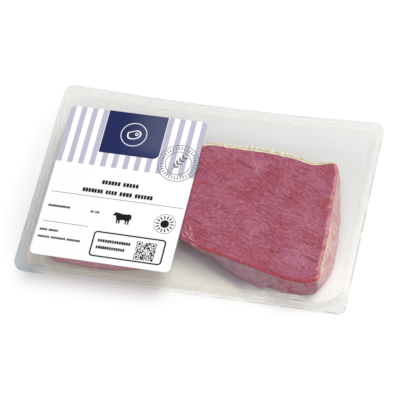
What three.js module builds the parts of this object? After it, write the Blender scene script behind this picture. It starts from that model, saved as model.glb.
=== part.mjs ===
// Meat tray pack: a clear thermoformed tray with a flange, a clear film sealed on the flange,
// a label stuck on the film, and two beef fillets lying in the tray.
// Millimetres, +Z up. The origin is under the middle of the pack on the plane it rests on,
// X runs along the long side, and +Y points to the back edge, which bows in a little.
import * as THREE from 'three';
import { mergeVertices } from 'three/addons/utils/BufferGeometryUtils.js';

// Outer size of the pack over the flange.
const PACK = { width: 230, depth: 150, height: 21 };
// How far the middle of the back edge lies inside a straight edge, and the stretch at each end of
// the edge that stays straight.
const BACK_SAG = 2.9;
const SAG_FREE_END = 8;
// The front edge runs straight from the left to about the middle, and from there on it draws back
// a little towards the peel corner.
const FRONT_TAPER = { from: 0, depth: 1.3 };
// Sheet thickness of the tray, and how far its edge is turned down.
const WALL = 0.8;
const LIP_DROP = 1.7;
// The edge's small roundings as shares of the sheet: its top corner, the fold of the lip on its
// inner side, and where the wall's outer face turns out under the flange.
const EDGE = { top: 0.4, side: 0.5, fold: 1.4, neck: 0.6, shoulder: 1.6 };
// Width of the flat flange on each side, from the outer edge to the mouth of the cavity.
const FLANGE = { left: 6.5, right: 5.5, front: 7, back: 8 };
// The walls lean in by this much from mouth to floor, and round into the floor and the flange.
const DRAFT = 5;
const FLOOR_RADIUS = 4;
const MOUTH_RADIUS = 0.8;
// The mouth's rounding from the flange into the wall, in shares of its radius.
const MOUTH_ROUNDING = [
  { inset: -1, drop: 0 },
  { inset: -0.2, drop: 0.4 },
  { inset: 0.3, drop: 1.6 },
];
// Corner radii, in the order front right, back right, back left, front left.
// The front right corner is the peel corner: its cavity corner is wide and leaves a loose tab.
const OUTER_CORNERS = [5.5, 7, 7.5, 8];
const MOUTH_CORNERS = [16, 6, 7, 7];
const FLOOR_CORNERS = [17, 10, 10, 10];
// Steps round a corner arc, along a long side and along a short side.
const CORNER_STEPS = 6;
const LONG_STEPS = 8;
const SHORT_STEPS = 4;
const FLOOR_ARC_STEPS = 4;

// The film lies on the flange, and the label on the film. The gaps stand for the seal and the glue.
const FILM = { thickness: 0.2, gap: 0.05 };
const LABEL = { left: -106.3, right: -7.1, front: -61.5, back: 57.7, radius: 3.5, thickness: 0.15, gap: 0.03 };

// The fillets stand this far off the floor and reach up to just under the film.
const FILLET = { floorGap: 0.05, headroom: 0.6 };
// Heights of the side rings as a share of the fillet's height, with the share of the flare that
// each one has, and how far it is drawn in from the outline.
const SIDE_RINGS = [
  { height: 0, flare: 0.55, inset: 1.6 },
  { height: 0.06, flare: 0.85, inset: 0.4 },
  { height: 0.28, flare: 1, inset: 0 },
  { height: 0.6, flare: 0.55, inset: -0.3 },
  { height: 0.86, flare: 0.12, inset: -0.2 },
  { height: 0.97, flare: 0, inset: 0.2 },
  { height: 1, flare: 0, inset: 1.3 },
];
// The cut face is a stack of rings, each this share of the outline's size, round a middle point.
const FACE_RINGS = [0.94, 0.86, 0.76, 0.64, 0.51, 0.38, 0.25, 0.12];
// Slow waves in the cut face: height, wavelength and heading in degrees.
const FACE_WAVES = [
  { height: 0.3, length: 47, heading: 20 },
  { height: 0.2, length: 29, heading: 110 },
  { height: 0.12, length: 17, heading: 65 },
];
// Upright folds in the sides: depth and count round the fillet.
const SIDE_FOLDS = { depth: 0.35, count: 23 };

// Outline of each fillet's cut face, counter-clockwise from its front left corner. The third number
// is the flare: how far the side under that point swells past the edge of the face.
const RIGHT_OUTLINE = [
  [-11, -29, -3], [-3, -34, -3.6], [3.5, -36.4, -3.2], [16, -39.8, -2.2], [28.6, -43, 2.2], [41.7, -45.7, 4.6],
  [52, -47.9, 5.8], [56, -48.8, 4.6], [66, -51.2, 3.6], [76, -52.9, 2.4], [84, -52.6, 1.6], [89.6, -51, 0.4],
  [93, -48.6, -2.4], [92.4, -44, 1.8], [91.7, -38, 5.4], [92.2, -23, 6.2], [91.5, -8, 6], [90.3, 10, 4.6],
  [90, 24, 1.8], [88.8, 36, 0.4], [86.4, 40.3, 0.4], [79.5, 39, 1], [71, 37.6, 1.4], [62, 39.8, 1.2],
  [34.4, 42.4, 1], [11.7, 42.4, 1], [-7, 41.6, 0.8], [-12.5, 36, 0], [-13, 10, -0.5], [-12.6, -16, -1.5],
];
const LEFT_OUTLINE = [
  [-97, -50, 2.4], [-92.5, -53.2, 3], [-84, -53.8, 3.2], [-66, -54.8, 2.8], [-52, -54.6, 2.6], [-40, -52.8, 2],
  [-28, -50, 1.6], [-20.8, -46.6, 1.2], [-18.6, -36, 1], [-18.6, -12, 1.4], [-19.5, 16, 1.2], [-21, 38, 1], [-27, 44, 1.2], [-48, 46.4, 1.6],
  [-72, 45.6, 1.6], [-90, 43, 1.4], [-97, 34, 1.6], [-98.4, 8, 2], [-98, -22, 2.2],
];
const RIGHT_STEPS = 92;
const LEFT_STEPS = 76;

const clear = { roughness: 0.12, metalness: 0, transparent: true };
const MATERIALS = {
  tray: new THREE.MeshStandardMaterial({ color: 0xe4e7e6, opacity: 0.45, ...clear }),
  film: new THREE.MeshStandardMaterial({ color: 0xf2f4f4, opacity: 0.2, ...clear }),
  label: new THREE.MeshStandardMaterial({ color: 0xfbfbfb, roughness: 0.5, metalness: 0 }),
  rightFillet: new THREE.MeshStandardMaterial({ color: 0xb0607a, roughness: 0.4, metalness: 0 }),
  leftFillet: new THREE.MeshStandardMaterial({ color: 0xb05a72, roughness: 0.4, metalness: 0 }),
};

// A rounded rectangle as a ring of points at one height, counter-clockwise from the front right
// corner. Every ring has the same number of points, so two rings can be joined point to point.
function ring(box, corners, z, bowShare = 0) {
  const [frontRight, backRight, backLeft, frontLeft] = corners;
  const centres = [
    [box.right - frontRight, box.front + frontRight, frontRight],
    [box.right - backRight, box.back - backRight, backRight],
    [box.left + backLeft, box.back - backLeft, backLeft],
    [box.left + frontLeft, box.front + frontLeft, frontLeft],
  ];
  const points = [];
  centres.forEach(([cx, cy, radius], corner) => {
    const start = ((corner - 1) * Math.PI) / 2;
    for (let step = 0; step <= CORNER_STEPS; step += 1) {
      const angle = start + (step / CORNER_STEPS) * (Math.PI / 2);
      points.push(new THREE.Vector3(cx + radius * Math.cos(angle), cy + radius * Math.sin(angle), z));
    }
    const from = points[points.length - 1];
    const [nextX, nextY, nextRadius] = centres[(corner + 1) % centres.length];
    const end = start + Math.PI / 2;
    const to = new THREE.Vector3(nextX + nextRadius * Math.cos(end), nextY + nextRadius * Math.sin(end), z);
    const steps = corner % 2 === 0 ? SHORT_STEPS : LONG_STEPS;
    for (let step = 1; step < steps; step += 1) {
      points.push(from.clone().lerp(to, step / steps));
    }
  });
  return bowShare === 0 ? points : bowed(points, box, bowShare);
}

// Draws the back edge in, most at its middle and nothing at its corners, and lets the right half
// of the front edge run back to the peel corner.
function bowed(points, box, share) {
  const middle = (box.left + box.right) / 2;
  const half = (box.right - box.left) / 2 - SAG_FREE_END;
  for (const point of points) {
    const across = Math.max(0, 1 - ((point.x - middle) / half) ** 2);
    const towardsBack = Math.max(0, point.y / box.back);
    const towardsFront = Math.max(0, point.y / box.front);
    const along = Math.max(0, (point.x - FRONT_TAPER.from) / (box.right - FRONT_TAPER.from));
    point.y -= share * BACK_SAG * across * towardsBack;
    point.y += share * FRONT_TAPER.depth * along * towardsFront;
  }
  return points;
}

// The flange's outer edge as a box, and the same box drawn in on its four sides.
const OUTER = { left: -PACK.width / 2, right: PACK.width / 2, front: -PACK.depth / 2, back: PACK.depth / 2 };
function drawnIn(box, by) {
  return {
    left: box.left + by.left,
    right: box.right - by.right,
    front: box.front + by.front,
    back: box.back - by.back,
  };
}
const evenly = (by) => ({ left: by, right: by, front: by, back: by });

// Joins rings of equal length into one closed body, with a flat cap on the first and last ring.
function closedLoft(rings) {
  const count = rings[0].length;
  const positions = rings.flat().flatMap((point) => [point.x, point.y, point.z]);
  const triangles = [];
  for (let level = 0; level + 1 < rings.length; level += 1) {
    for (let i = 0; i < count; i += 1) {
      const a = level * count + i;
      const b = level * count + ((i + 1) % count);
      triangles.push(a, b, b + count, a, b + count, a + count);
    }
  }
  const cap = (points) => THREE.ShapeUtils.triangulateShape(points.map((p) => new THREE.Vector2(p.x, p.y)), []);
  const last = (rings.length - 1) * count;
  cap(rings[0]).forEach(([a, b, c]) => triangles.push(a, c, b));
  cap(rings[rings.length - 1]).forEach(([a, b, c]) => triangles.push(last + a, last + b, last + c));
  return indexed(positions, triangles);
}

function indexed(positions, triangles) {
  const geometry = new THREE.BufferGeometry();
  geometry.setAttribute('position', new THREE.Float32BufferAttribute(positions, 3));
  geometry.setIndex(triangles);
  const merged = mergeVertices(geometry);
  merged.computeVertexNormals();
  return merged;
}

function named(name, geometry, material) {
  const mesh = new THREE.Mesh(geometry, material);
  mesh.name = name;
  return mesh;
}

// The cavity's section on one side, as points of { inset, z } from the mouth down to the floor.
// The inset runs inwards from the mouth. A negative offset gives the outer face of the sheet.
function cavitySection(offset) {
  const floor = WALL;
  const drop = PACK.height - floor;
  const lean = Math.atan(DRAFT / drop);
  const tangentZ = floor + FLOOR_RADIUS * (1 - Math.sin(lean));
  const centre = {
    inset: (DRAFT * (PACK.height - tangentZ)) / drop + FLOOR_RADIUS * Math.cos(lean),
    z: floor + FLOOR_RADIUS,
  };
  const radius = FLOOR_RADIUS + offset;
  const points = [];
  for (let step = 0; step <= FLOOR_ARC_STEPS; step += 1) {
    const angle = lean + (step / FLOOR_ARC_STEPS) * (Math.PI / 2 - lean);
    points.push({ inset: centre.inset - radius * Math.cos(angle), z: centre.z - radius * Math.sin(angle) });
  }
  return points;
}

// One ring of the cavity at a height between mouth and floor. Its corners open out on the way down.
function cavityRing({ inset, z }) {
  const depth = THREE.MathUtils.clamp((PACK.height - z) / (PACK.height - WALL), 0, 1);
  const corners = MOUTH_CORNERS.map((mouth, i) => THREE.MathUtils.lerp(mouth, FLOOR_CORNERS[i], depth));
  const box = drawnIn(drawnIn(OUTER, FLANGE), evenly(inset));
  return ring(box, corners, z, 1 - depth);
}

function edgeRing(inset, z) {
  const corners = OUTER_CORNERS.map((radius) => radius - inset);
  return ring(drawnIn(OUTER, evenly(inset)), corners, z, 1);
}

function makeTray() {
  const top = PACK.height;
  const underside = top - WALL;
  const outside = cavitySection(WALL).reverse().map(cavityRing);
  const inside = cavitySection(0).map(cavityRing);
  const mouth = MOUTH_ROUNDING.map(({ inset, drop }) =>
    cavityRing({ inset: inset * MOUTH_RADIUS, z: top - drop * MOUTH_RADIUS }),
  );
  return closedLoft([
    ...outside,
    cavityRing({ inset: -WALL * EDGE.neck, z: underside - WALL }),
    cavityRing({ inset: -WALL * EDGE.shoulder, z: underside }),
    edgeRing(WALL * EDGE.fold, underside),
    edgeRing(WALL, top - LIP_DROP),
    edgeRing(0, top - LIP_DROP),
    edgeRing(0, top - WALL * EDGE.side),
    edgeRing(WALL * EDGE.top, top),
    ...mouth,
    ...inside,
  ]);
}

function makeFilm() {
  const low = PACK.height + FILM.gap;
  return closedLoft([edgeRing(0, low), edgeRing(0, low + FILM.thickness)]);
}

function makeLabel() {
  const low = PACK.height + FILM.gap + FILM.thickness + LABEL.gap;
  const corners = OUTER_CORNERS.map(() => LABEL.radius);
  return closedLoft([ring(LABEL, corners, low), ring(LABEL, corners, low + LABEL.thickness)]);
}

function faceWave(x, y) {
  return FACE_WAVES.reduce((sum, wave) => {
    const heading = THREE.MathUtils.degToRad(wave.heading);
    const along = x * Math.cos(heading) + y * Math.sin(heading);
    return sum + wave.height * Math.sin((2 * Math.PI * along) / wave.length);
  }, 0);
}

// A cut of meat: its side rings swell past the outline by the flare and fold a little, and its
// face is drawn in ring by ring to a middle point, following the slow waves.
function makeFillet(outline, steps) {
  const curve = new THREE.CatmullRomCurve3(outline.map((p) => new THREE.Vector3(...p)), true, 'centripetal');
  const samples = curve.getSpacedPoints(steps).slice(0, steps);
  const middle = samples.reduce((sum, p) => sum.add(p), new THREE.Vector3()).divideScalar(steps);
  const low = WALL + FILLET.floorGap;
  const tall = PACK.height - FILLET.headroom - low;
  const crest = FACE_WAVES.reduce((sum, wave) => sum + wave.height, 0);
  const faceHeight = (x, y) => low + tall - crest + faceWave(x, y);
  const positions = [];
  for (const side of SIDE_RINGS) {
    samples.forEach((p, i) => {
      const before = samples[(i + steps - 1) % steps];
      const after = samples[(i + 1) % steps];
      const along = new THREE.Vector2(after.x - before.x, after.y - before.y).normalize();
      const fold = SIDE_FOLDS.depth * Math.sin((2 * Math.PI * SIDE_FOLDS.count * i) / steps);
      const out = p.z * side.flare - side.inset + fold * Math.sin(Math.PI * side.height);
      const x = p.x + along.y * out;
      const y = p.y - along.x * out;
      positions.push(x, y, low + side.height * (faceHeight(x, y) - low));
    });
  }
  for (const share of FACE_RINGS) {
    for (const p of samples) {
      const x = THREE.MathUtils.lerp(middle.x, p.x, share);
      const y = THREE.MathUtils.lerp(middle.y, p.y, share);
      positions.push(x, y, faceHeight(x, y));
    }
  }
  const triangles = [];
  const levels = SIDE_RINGS.length + FACE_RINGS.length;
  for (let level = 0; level + 1 < levels; level += 1) {
    for (let i = 0; i < steps; i += 1) {
      const a = level * steps + i;
      const b = level * steps + ((i + 1) % steps);
      triangles.push(a, b, b + steps, a, b + steps, a + steps);
    }
  }
  const foot = samples.map((_, i) => new THREE.Vector2(positions[i * 3], positions[i * 3 + 1]));
  THREE.ShapeUtils.triangulateShape(foot, []).forEach(([a, b, c]) => triangles.push(a, c, b));
  const peak = positions.length / 3;
  positions.push(middle.x, middle.y, faceHeight(middle.x, middle.y));
  for (let i = 0; i < steps; i += 1) {
    const last = (levels - 1) * steps;
    triangles.push(last + i, last + ((i + 1) % steps), peak);
  }
  return indexed(positions, triangles);
}

const pack = new THREE.Group();
pack.add(named('tray', makeTray(), MATERIALS.tray));
pack.add(named('film', makeFilm(), MATERIALS.film));
pack.add(named('label', makeLabel(), MATERIALS.label));
pack.add(named('filet_right', makeFillet(RIGHT_OUTLINE, RIGHT_STEPS), MATERIALS.rightFillet));
pack.add(named('filet_left', makeFillet(LEFT_OUTLINE, LEFT_STEPS), MATERIALS.leftFillet));

export default pack;
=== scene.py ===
import math
import random

import bmesh
import bpy
from bpy.props import FloatProperty, FloatVectorProperty, IntProperty, PointerProperty
from mathutils import Matrix, Vector


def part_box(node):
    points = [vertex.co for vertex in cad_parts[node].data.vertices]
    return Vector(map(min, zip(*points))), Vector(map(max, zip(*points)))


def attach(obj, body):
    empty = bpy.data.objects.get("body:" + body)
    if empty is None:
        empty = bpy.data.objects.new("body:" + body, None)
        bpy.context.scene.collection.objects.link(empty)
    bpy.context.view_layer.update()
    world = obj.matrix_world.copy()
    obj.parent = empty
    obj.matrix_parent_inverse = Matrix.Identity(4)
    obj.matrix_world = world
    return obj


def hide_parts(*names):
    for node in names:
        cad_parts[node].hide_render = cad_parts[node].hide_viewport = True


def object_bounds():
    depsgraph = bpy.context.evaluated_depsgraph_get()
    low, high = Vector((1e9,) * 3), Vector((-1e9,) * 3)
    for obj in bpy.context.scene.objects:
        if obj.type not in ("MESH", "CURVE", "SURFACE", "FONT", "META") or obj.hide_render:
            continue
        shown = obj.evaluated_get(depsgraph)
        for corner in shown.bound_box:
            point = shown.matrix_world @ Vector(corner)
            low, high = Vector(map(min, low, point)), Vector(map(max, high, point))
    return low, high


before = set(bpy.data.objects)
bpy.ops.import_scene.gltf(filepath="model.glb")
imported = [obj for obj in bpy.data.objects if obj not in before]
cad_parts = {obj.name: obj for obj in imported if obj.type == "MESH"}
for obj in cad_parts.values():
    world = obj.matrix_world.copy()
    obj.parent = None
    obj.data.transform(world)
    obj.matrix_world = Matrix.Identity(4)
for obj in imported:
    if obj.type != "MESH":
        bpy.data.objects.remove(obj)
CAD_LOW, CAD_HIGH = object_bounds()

bl_info = {
    "name": "Meat tray pack",
    "version": (1, 0, 0),
    "blender": (4, 5, 0),
    "location": "3D View > Sidebar > Meat Pack",
    "description": "Builds a sealed clear tray of raw beef with its film, printed label and studio",
    "category": "Add Mesh",
}

MM = 0.001
BODY = "root"

# The pack's parts as model.glb gives them.
TRAY_LOW, TRAY_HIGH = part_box("tray")
FILM_LOW, FILM_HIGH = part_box("film")
LABEL_LOW, LABEL_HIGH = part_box("label")
RIM_HEIGHT = TRAY_HIGH.z
PACK_WIDTH = TRAY_HIGH.x - TRAY_LOW.x
PACK_DEPTH = TRAY_HIGH.y - TRAY_LOW.y

# Corner radii in the order front right, back right, back left, front left, as the solids have them.
OUTER_CORNERS = [radius * MM for radius in (5.5, 7, 7.5, 8)]
MOUTH_CORNERS = [radius * MM for radius in (16, 6, 7, 7)]
FLOOR_CORNERS = [radius * MM for radius in (17, 10, 10, 10)]
SEAL_CORNERS = [radius * MM for radius in (19, 6, 6, 7)]
SAG_FREE_END = 8 * MM
SHARP_ANGLE = math.radians(38)
# How far the mouth's rounding turns before the wall takes over.
MOUTH_TURN = math.radians(76)

# Steps round a corner and along the long and short sides of a ring, and in the tray's and the film's
# sections.
CORNER_STEPS = 20
LONG_STEPS = 30
SHORT_STEPS = 12
FLOOR_STEPS = 8
MOUTH_STEPS = 4
FILM_STEPS = 26
RING_FIELDS = ("corner", "turn", "along", "inset", "height", "edge", "shrink")
# Where the film's waves start and are full, to the right of the label.
WAVES_FROM = (3 * MM, 30 * MM)
# A seal line's foot and top, from the film's top.
SEAL_LINE = (-0.02 * MM, 0.09 * MM)

# Outline of each fillet's cut face in millimetres, counter-clockwise from its front left corner, as
# in the solids. The third number is how far the side under that point swells past the face's edge.
RIGHT_OUTLINE = [
    (-11, -29, -3), (-3, -34, -3.6), (3.5, -36.4, -3.2), (16, -39.8, -2.2), (28.6, -43, 2.2),
    (41.7, -45.7, 4.6), (52, -47.9, 5.8), (56, -48.8, 4.6), (66, -51.2, 3.6), (76, -52.9, 2.4),
    (84, -52.6, 1.6), (89.6, -51, 0.4), (93, -48.6, -2.4), (92.4, -44, 1.8), (91.7, -38, 5.4),
    (92.2, -23, 6.2), (91.5, -8, 6), (90.3, 10, 4.6), (90, 24, 1.8), (88.8, 36, 0.4), (86.4, 40.3, 0.4),
    (79.5, 39, 1), (71, 37.6, 1.4), (62, 39.8, 1.2), (34.4, 42.4, 1), (11.7, 42.4, 1), (-7, 41.6, 0.8),
    (-12.5, 36, 0), (-13, 10, -0.5), (-12.6, -16, -1.5),
]
LEFT_OUTLINE = [
    (-97, -50, 2.4), (-92.5, -53.2, 3), (-84, -53.8, 3.2), (-66, -54.8, 2.8), (-52, -54.6, 2.6),
    (-40, -52.8, 2), (-28, -50, 1.6), (-20.8, -46.6, 1.2), (-18.6, -36, 1), (-18.6, -12, 1.4),
    (-19.5, 16, 1.2), (-21, 38, 1), (-27, 44, 1.2), (-48, 46.4, 1.6), (-72, 45.6, 1.6), (-90, 43, 1.4),
    (-97, 34, 1.6), (-98.4, 8, 2), (-98, -22, 2.2),
]
# Height share, flare share and inset in millimetres down the side of a fillet, as in the solids.
SIDE_PROFILE = [
    (0, 0.55, 1.6), (0.06, 0.85, 0.4), (0.28, 1, 0), (0.6, 0.55, -0.3), (0.86, 0.12, -0.2), (0.97, 0, 0.2),
    (1, 0, 1.3),
]
# Waves of the cut face as (height, length, heading), and the depth and number of the sides' folds.
FACE_WAVES = [(0.3, 47, 20), (0.2, 29, 110), (0.12, 17, 65)]
SIDE_FOLDS = (0.35, 23)
CUT_FIELDS = ("side", "rim", "back", "right", "red")
SIDE_STEPS = 22
FACE_STEPS = 72
RIM_REACH = 9
# About the area of a fillet's face, in square metres.
FACE_AREA = 0.0092

# Zones of the right fillet's face: x, y, radius in millimetres, and how red (or, below zero, how
# mauve) the middle of the zone is.
FACE_ZONES = [
    (5.7, -29.5, 8, 1), (0.3, -10, 7, 0.4), (26.5, 7.4, 14, 0.9), (40, 15, 10, 0.7), (48.2, 23.2, 13, 0.6),
    (23.5, -37.8, 8, 0.7), (82.4, 31.8, 11, 0.8), (87.2, 7.7, 8, 0.6), (60, -21, 8, 0.3),
    (53.3, -47.4, 8, 0.7), (4.7, 37.4, 10, -0.4), (34.4, 31.4, 13, -0.9), (2.2, 3.7, 8, -0.2),
    (42, -17.2, 14, -0.6), (76, -37, 18, -0.9), (73.6, -3.4, 13, -0.4), (51.2, 32.8, 9, -0.3),
    (9.6, -20, 10, -0.6), (52, 5.6, 11, -0.3),
]
# Pale sinews and dark streaks on that face, as the points that they run through.
SINEWS = [
    [(27.9, 39.8), (31.9, 31.5), (35.9, 22.5)], [(24.6, 11.7), (26.5, 9.7), (30.5, 9.8), (33.4, 11.3)],
    [(11, -8.5), (13.6, -7.1), (15.6, -4.4)], [(59.4, -3.9), (63.1, -5.2), (68.1, -5.5)],
    [(75.3, -11.5), (78.8, -9.8), (80.9, -7.7)], [(48, -31.7), (49.6, -30.4), (52.8, -31.4), (56.5, -30.4)],
    [(68.6, -31.8), (73.4, -31.1), (79.5, -32.3)], [(-1.9, 39.4), (1.3, 38), (5.1, 36.9)],
    [(32.4, 17.4), (35.2, 18.1), (38.3, 17.8)],
]
STREAKS = [
    [(9.1, 20.2), (12.4, 18.7), (15.4, 16.6)], [(40.8, 29.5), (46.9, 29.3)], [(48.2, 23.2), (51.8, 20.4)],
    [(67.3, 22.7), (73, 19.8), (79.7, 15.5)], [(51.2, 28.2), (57, 26.8), (63.9, 24.5)],
    [(75.1, 13.7), (83.4, 11.6)], [(9.1, -13.3), (12.9, -17.2)], [(21.6, -20.3), (30.8, -21.1)],
]
# The silver skin on the right fillet's front side: where it starts, and where it ends at the foot
# and under the face's edge.
SKIN = {"from": 1, "foot": 53, "top": 68}
SKIN_ROWS = 26
SKIN_COLUMNS = 110
# Its thickness, its gap to the meat and how far its tip stands off, in millimetres.
SKIN_THICK = 0.25
SKIN_GAP = 0.15
SKIN_TIP = 0.9
# The fillets: hand, outline, points round it, zones of the face, and share of the sides under skin. The left
# one's high share is partly painted light: it lightens its front side, which lies in the label's shade.
FILLETS = (("right", RIGHT_OUTLINE, 380, FACE_ZONES, 0.0), ("left", LEFT_OUTLINE, 300, [], 0.75))
# Runs of the wet red line under the right fillet's front edge: from and to x, and weight.
WET_EDGE = [(6, 26, 2.0), (22, 50, 1.0), (48, 72, 1.3), (66, 92, 2.1)]
# Torn fibres at that fillet's front left corner, as the points that they run through.
TORN = [
    [(-6, -22), (-3, -28), (1, -33), (8, -36.8)], [(-6, -27), (-1, -31), (4, -35)],
    [(-6.5, -30), (-2, -33.4)], [(-2, -24), (0, -29), (3, -33)], [(-5, -20), (0, -26), (2, -31)],
]
# Ends of the pale seam on the right edge and of the fat along the back edge.
SEAM = [(93, -44), (91.5, -4)]
BACK_FAT = [(86, 40.2), (-5, 41.8)]
# Streaks of fat on the left fillet's front side: from and to x, height share and weight.
LEFT_FAT = [
    (-94, -78, 0.5, 2.2), (-88, -66, 0.62, 1.9), (-80, -58, 0.4, 1.4), (-70, -44, 0.7, 1.3),
    (-56, -40, 0.5, 0.9),
]

# The print lies in thin layers on the paper, under the top of the label's solid.
PRINT_STEP = 0.012 * MM
PAPER_HIGH = LABEL_HIGH.z - PRINT_STEP * 5
PRINT_LOW = PAPER_HIGH + 0.004 * MM
STRIPES, DARK, FINE, TOPMOST = range(4)
# How far the stripes run past the label's outline before they are cut to it.
OVERCUT = 0.02 * MM

# The print on the label, in millimetres in the pack's frame.
LABEL_RADIUS = 3.5
STRIPE_COUNT = 13
STRIPE_WIDTH = 3.8
STRIPES_FRONT = 12.4
BADGE = {"left": -78.2, "right": -35.2, "front": 23.4, "back": 57.7}
STAMP = {"x": -20.5, "y": 22.6, "outer": 14.6, "inner": 9.3, "line": 0.45}
ROUND_MARK = {"x": -18.8, "y": -25.5, "radius": 7.6, "line": 0.35}
BOX_FRAME = {"left": -65.4, "right": -14.2, "front": -57.2, "back": -37.6, "line": 1.1, "radius": 2.8}
CODE = {"left": -34.2, "right": -20.3, "front": -55.2, "back": -41.2, "modules": 25, "share": 0.55}
# In modules: the middle of a corner square from the sides, and half the side of its blank, of its ring
# outside and inside, and of the square in it.
CORNER_MIDDLE = 3.5
BLANK_HALF = 4.2
RING_HALVES = (3.5, 2.5)
DOT_HALF = 1.5
# Thin rules as (left, right, middle), and half their thickness.
RULES = [(-103.1, -8.9, -11.9), (-103.1, -70.9, -35.4)]
RULE_HALF = 0.2
# The sprig in the stamp: its heading, half its length in inner radii, its pairs of leaves, how far they
# spread, and where the first pair stands and their pitch in half lengths. Then the outline of a leaf.
SPRIG = {
    "heading": math.radians(58), "reach": 0.74, "pairs": 4, "spread": math.radians(42), "first": 0.55,
    "pitch": 0.42,
}
LEAF = [(0, -0.45), (1.9, -0.7), (3.4, 0), (1.9, 0.7), (0, 0.45)]
# Shares of a bar's height: the gap between bars, the pitch of a bar's blocks and half their height.
BAR_GAP = 0.45
BLOCK_PITCH = 0.6
BLOCK_HALF = 0.42
# How much bars differ in length, and how much of its pitch a block fills, as ranges for the draw.
BAR_SPREAD = (0.6, 1.4)
BLOCK_FILL = (0.78, 0.9)
# Rows of bars: left, right, middle, bar height and number of bars.
WORD_ROWS = [
    (-69.6, -43.2, 0.2, 3.8, 2), (-81.8, -31.4, -7.3, 3.8, 4), (-102.4, -86.6, -23, 2, 1),
    (-72, -65.6, -23.6, 2, 2), (-103.7, -90.4, -42, 2, 2), (-103.6, -73.4, -47.5, 2, 3),
    (-61.4, -38.2, -44.6, 2.7, 1), (-61.6, -41.2, -49.8, 2.7, 1),
]
STEER = {"x": -48.4, "y": -25.2, "length": 12.6}
# The cattle figure's outline, in tenths of its length, clockwise from the muzzle.
STEER_OUTLINE = [
    (-5.9, 0.9), (-5.7, 1.5), (-5.1, 2.2), (-4.9, 2.7), (-5, 3.3), (-4.4, 2.9), (-3.6, 2.8), (-2.5, 2.7),
    (-1, 2.3), (1, 2.3), (3.2, 2.6), (4.2, 2.3), (4.5, 1.5), (4.75, -0.7), (4.55, -1.6), (4.35, -0.6),
    (4.2, 0.2), (4, -0.8), (3.7, -1.8), (3.9, -3.8), (3.1, -3.8), (2.8, -2), (2.5, -1.4), (2.3, -2),
    (2.4, -3.8), (1.6, -3.8), (1.5, -1.9), (1.1, -1.3), (-0.5, -1.6), (-1.3, -1.5), (-1.2, -3.8),
    (-2, -3.8), (-2.2, -1.9), (-2.5, -2), (-2.5, -3.8), (-3.3, -3.8), (-3.4, -1.8), (-3.8, -0.6),
    (-4.1, 0.5), (-4.5, 0.9), (-5.4, 0.5),
]
# The sign: the radii of its ring, the bone's place and radii, and the steak's outline.
SIGN_RING = (9.4, 8.9)
BONE = {"x": 2, "y": 0.5, "outer": 1.2, "inner": 0.6}
STEAK_OUTLINE = [
    (-4.6, -1.2), (-3.6, -3.3), (-0.9, -3.9), (2.1, -3.2), (4.4, -1.6), (5.2, 0.8), (4.2, 2.9), (1.8, 3.7),
    (-0.6, 2.9), (-2.6, 2.1), (-4.4, 1.2),
]

# Where the camera and the lights look, and the sensor's width in millimetres.
AIM = Vector((0.88 * MM, -3.28 * MM, RIM_HEIGHT))
SENSOR = 36.0
# How far the floor lies under the pack, and half its side.
FLOOR_DROP = 0.05 * MM
FLOOR_HALF = 3.0
# Place and size of each light.
KEY_LIGHT = ((1.3, 1.5, 3.4), 2.2)
FILL_LIGHT = ((2.3, -1.1, 1.5), 1.4)


def metres(values):
    """A list of millimetre values in metres."""
    return [value * MM for value in values]


class TraySettings(bpy.types.PropertyGroup):
    """Sizes and looks of the clear tray."""

    wall: FloatProperty(
        name="Sheet", description="Thickness of the tray's sheet", default=0.8 * MM, unit="LENGTH"
    )
    lip_drop: FloatProperty(
        name="Lip", description="How far the edge turns down", default=1.7 * MM, unit="LENGTH"
    )
    draft: FloatProperty(name="Draft", description="How far the walls lean in", default=5 * MM, unit="LENGTH")
    floor_radius: FloatProperty(
        name="Floor radius", description="Radius between wall and floor", default=4 * MM, unit="LENGTH"
    )
    mouth_radius: FloatProperty(
        name="Mouth radius", description="Radius at the mouth of the cavity", default=0.8 * MM,
        unit="LENGTH"
    )
    sag: FloatProperty(
        name="Back sag", description="How far the back edge bows in", default=2.9 * MM, unit="LENGTH"
    )
    taper: FloatProperty(
        name="Front taper", description="How far the front edge's right end draws back", default=1.3 * MM,
        unit="LENGTH"
    )
    flange: FloatVectorProperty(
        name="Flange", description="Width of the flange at the left, right, front and back", size=4,
        default=metres((6.5, 5.5, 7, 8)), unit="LENGTH"
    )
    tint: FloatVectorProperty(
        name="Tint", description="Colour of the sheet's haze", size=3, subtype="COLOR",
        default=(0.78, 0.80, 0.79)
    )
    haze: FloatProperty(name="Haze", description="How milky the sheet is", default=0.05, subtype="FACTOR")


class FilmSettings(bpy.types.PropertyGroup):
    """Looks of the lid film and its seal."""

    haze: FloatProperty(name="Haze", description="How milky the film is", default=0.012, subtype="FACTOR")
    wave: FloatProperty(
        name="Waves", description="Depth of the film's waves", default=0.22 * MM, unit="LENGTH"
    )
    ridge: FloatProperty(
        name="Seal ridge", description="Half the width of a seal line", default=0.3 * MM, unit="LENGTH"
    )
    seal: FloatVectorProperty(
        name="Outer seal",
        description="Distance of the outer seal line from the left, right, front and back edge", size=4,
        default=metres((3, 1.2, 4, 4)), unit="LENGTH"
    )


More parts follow.
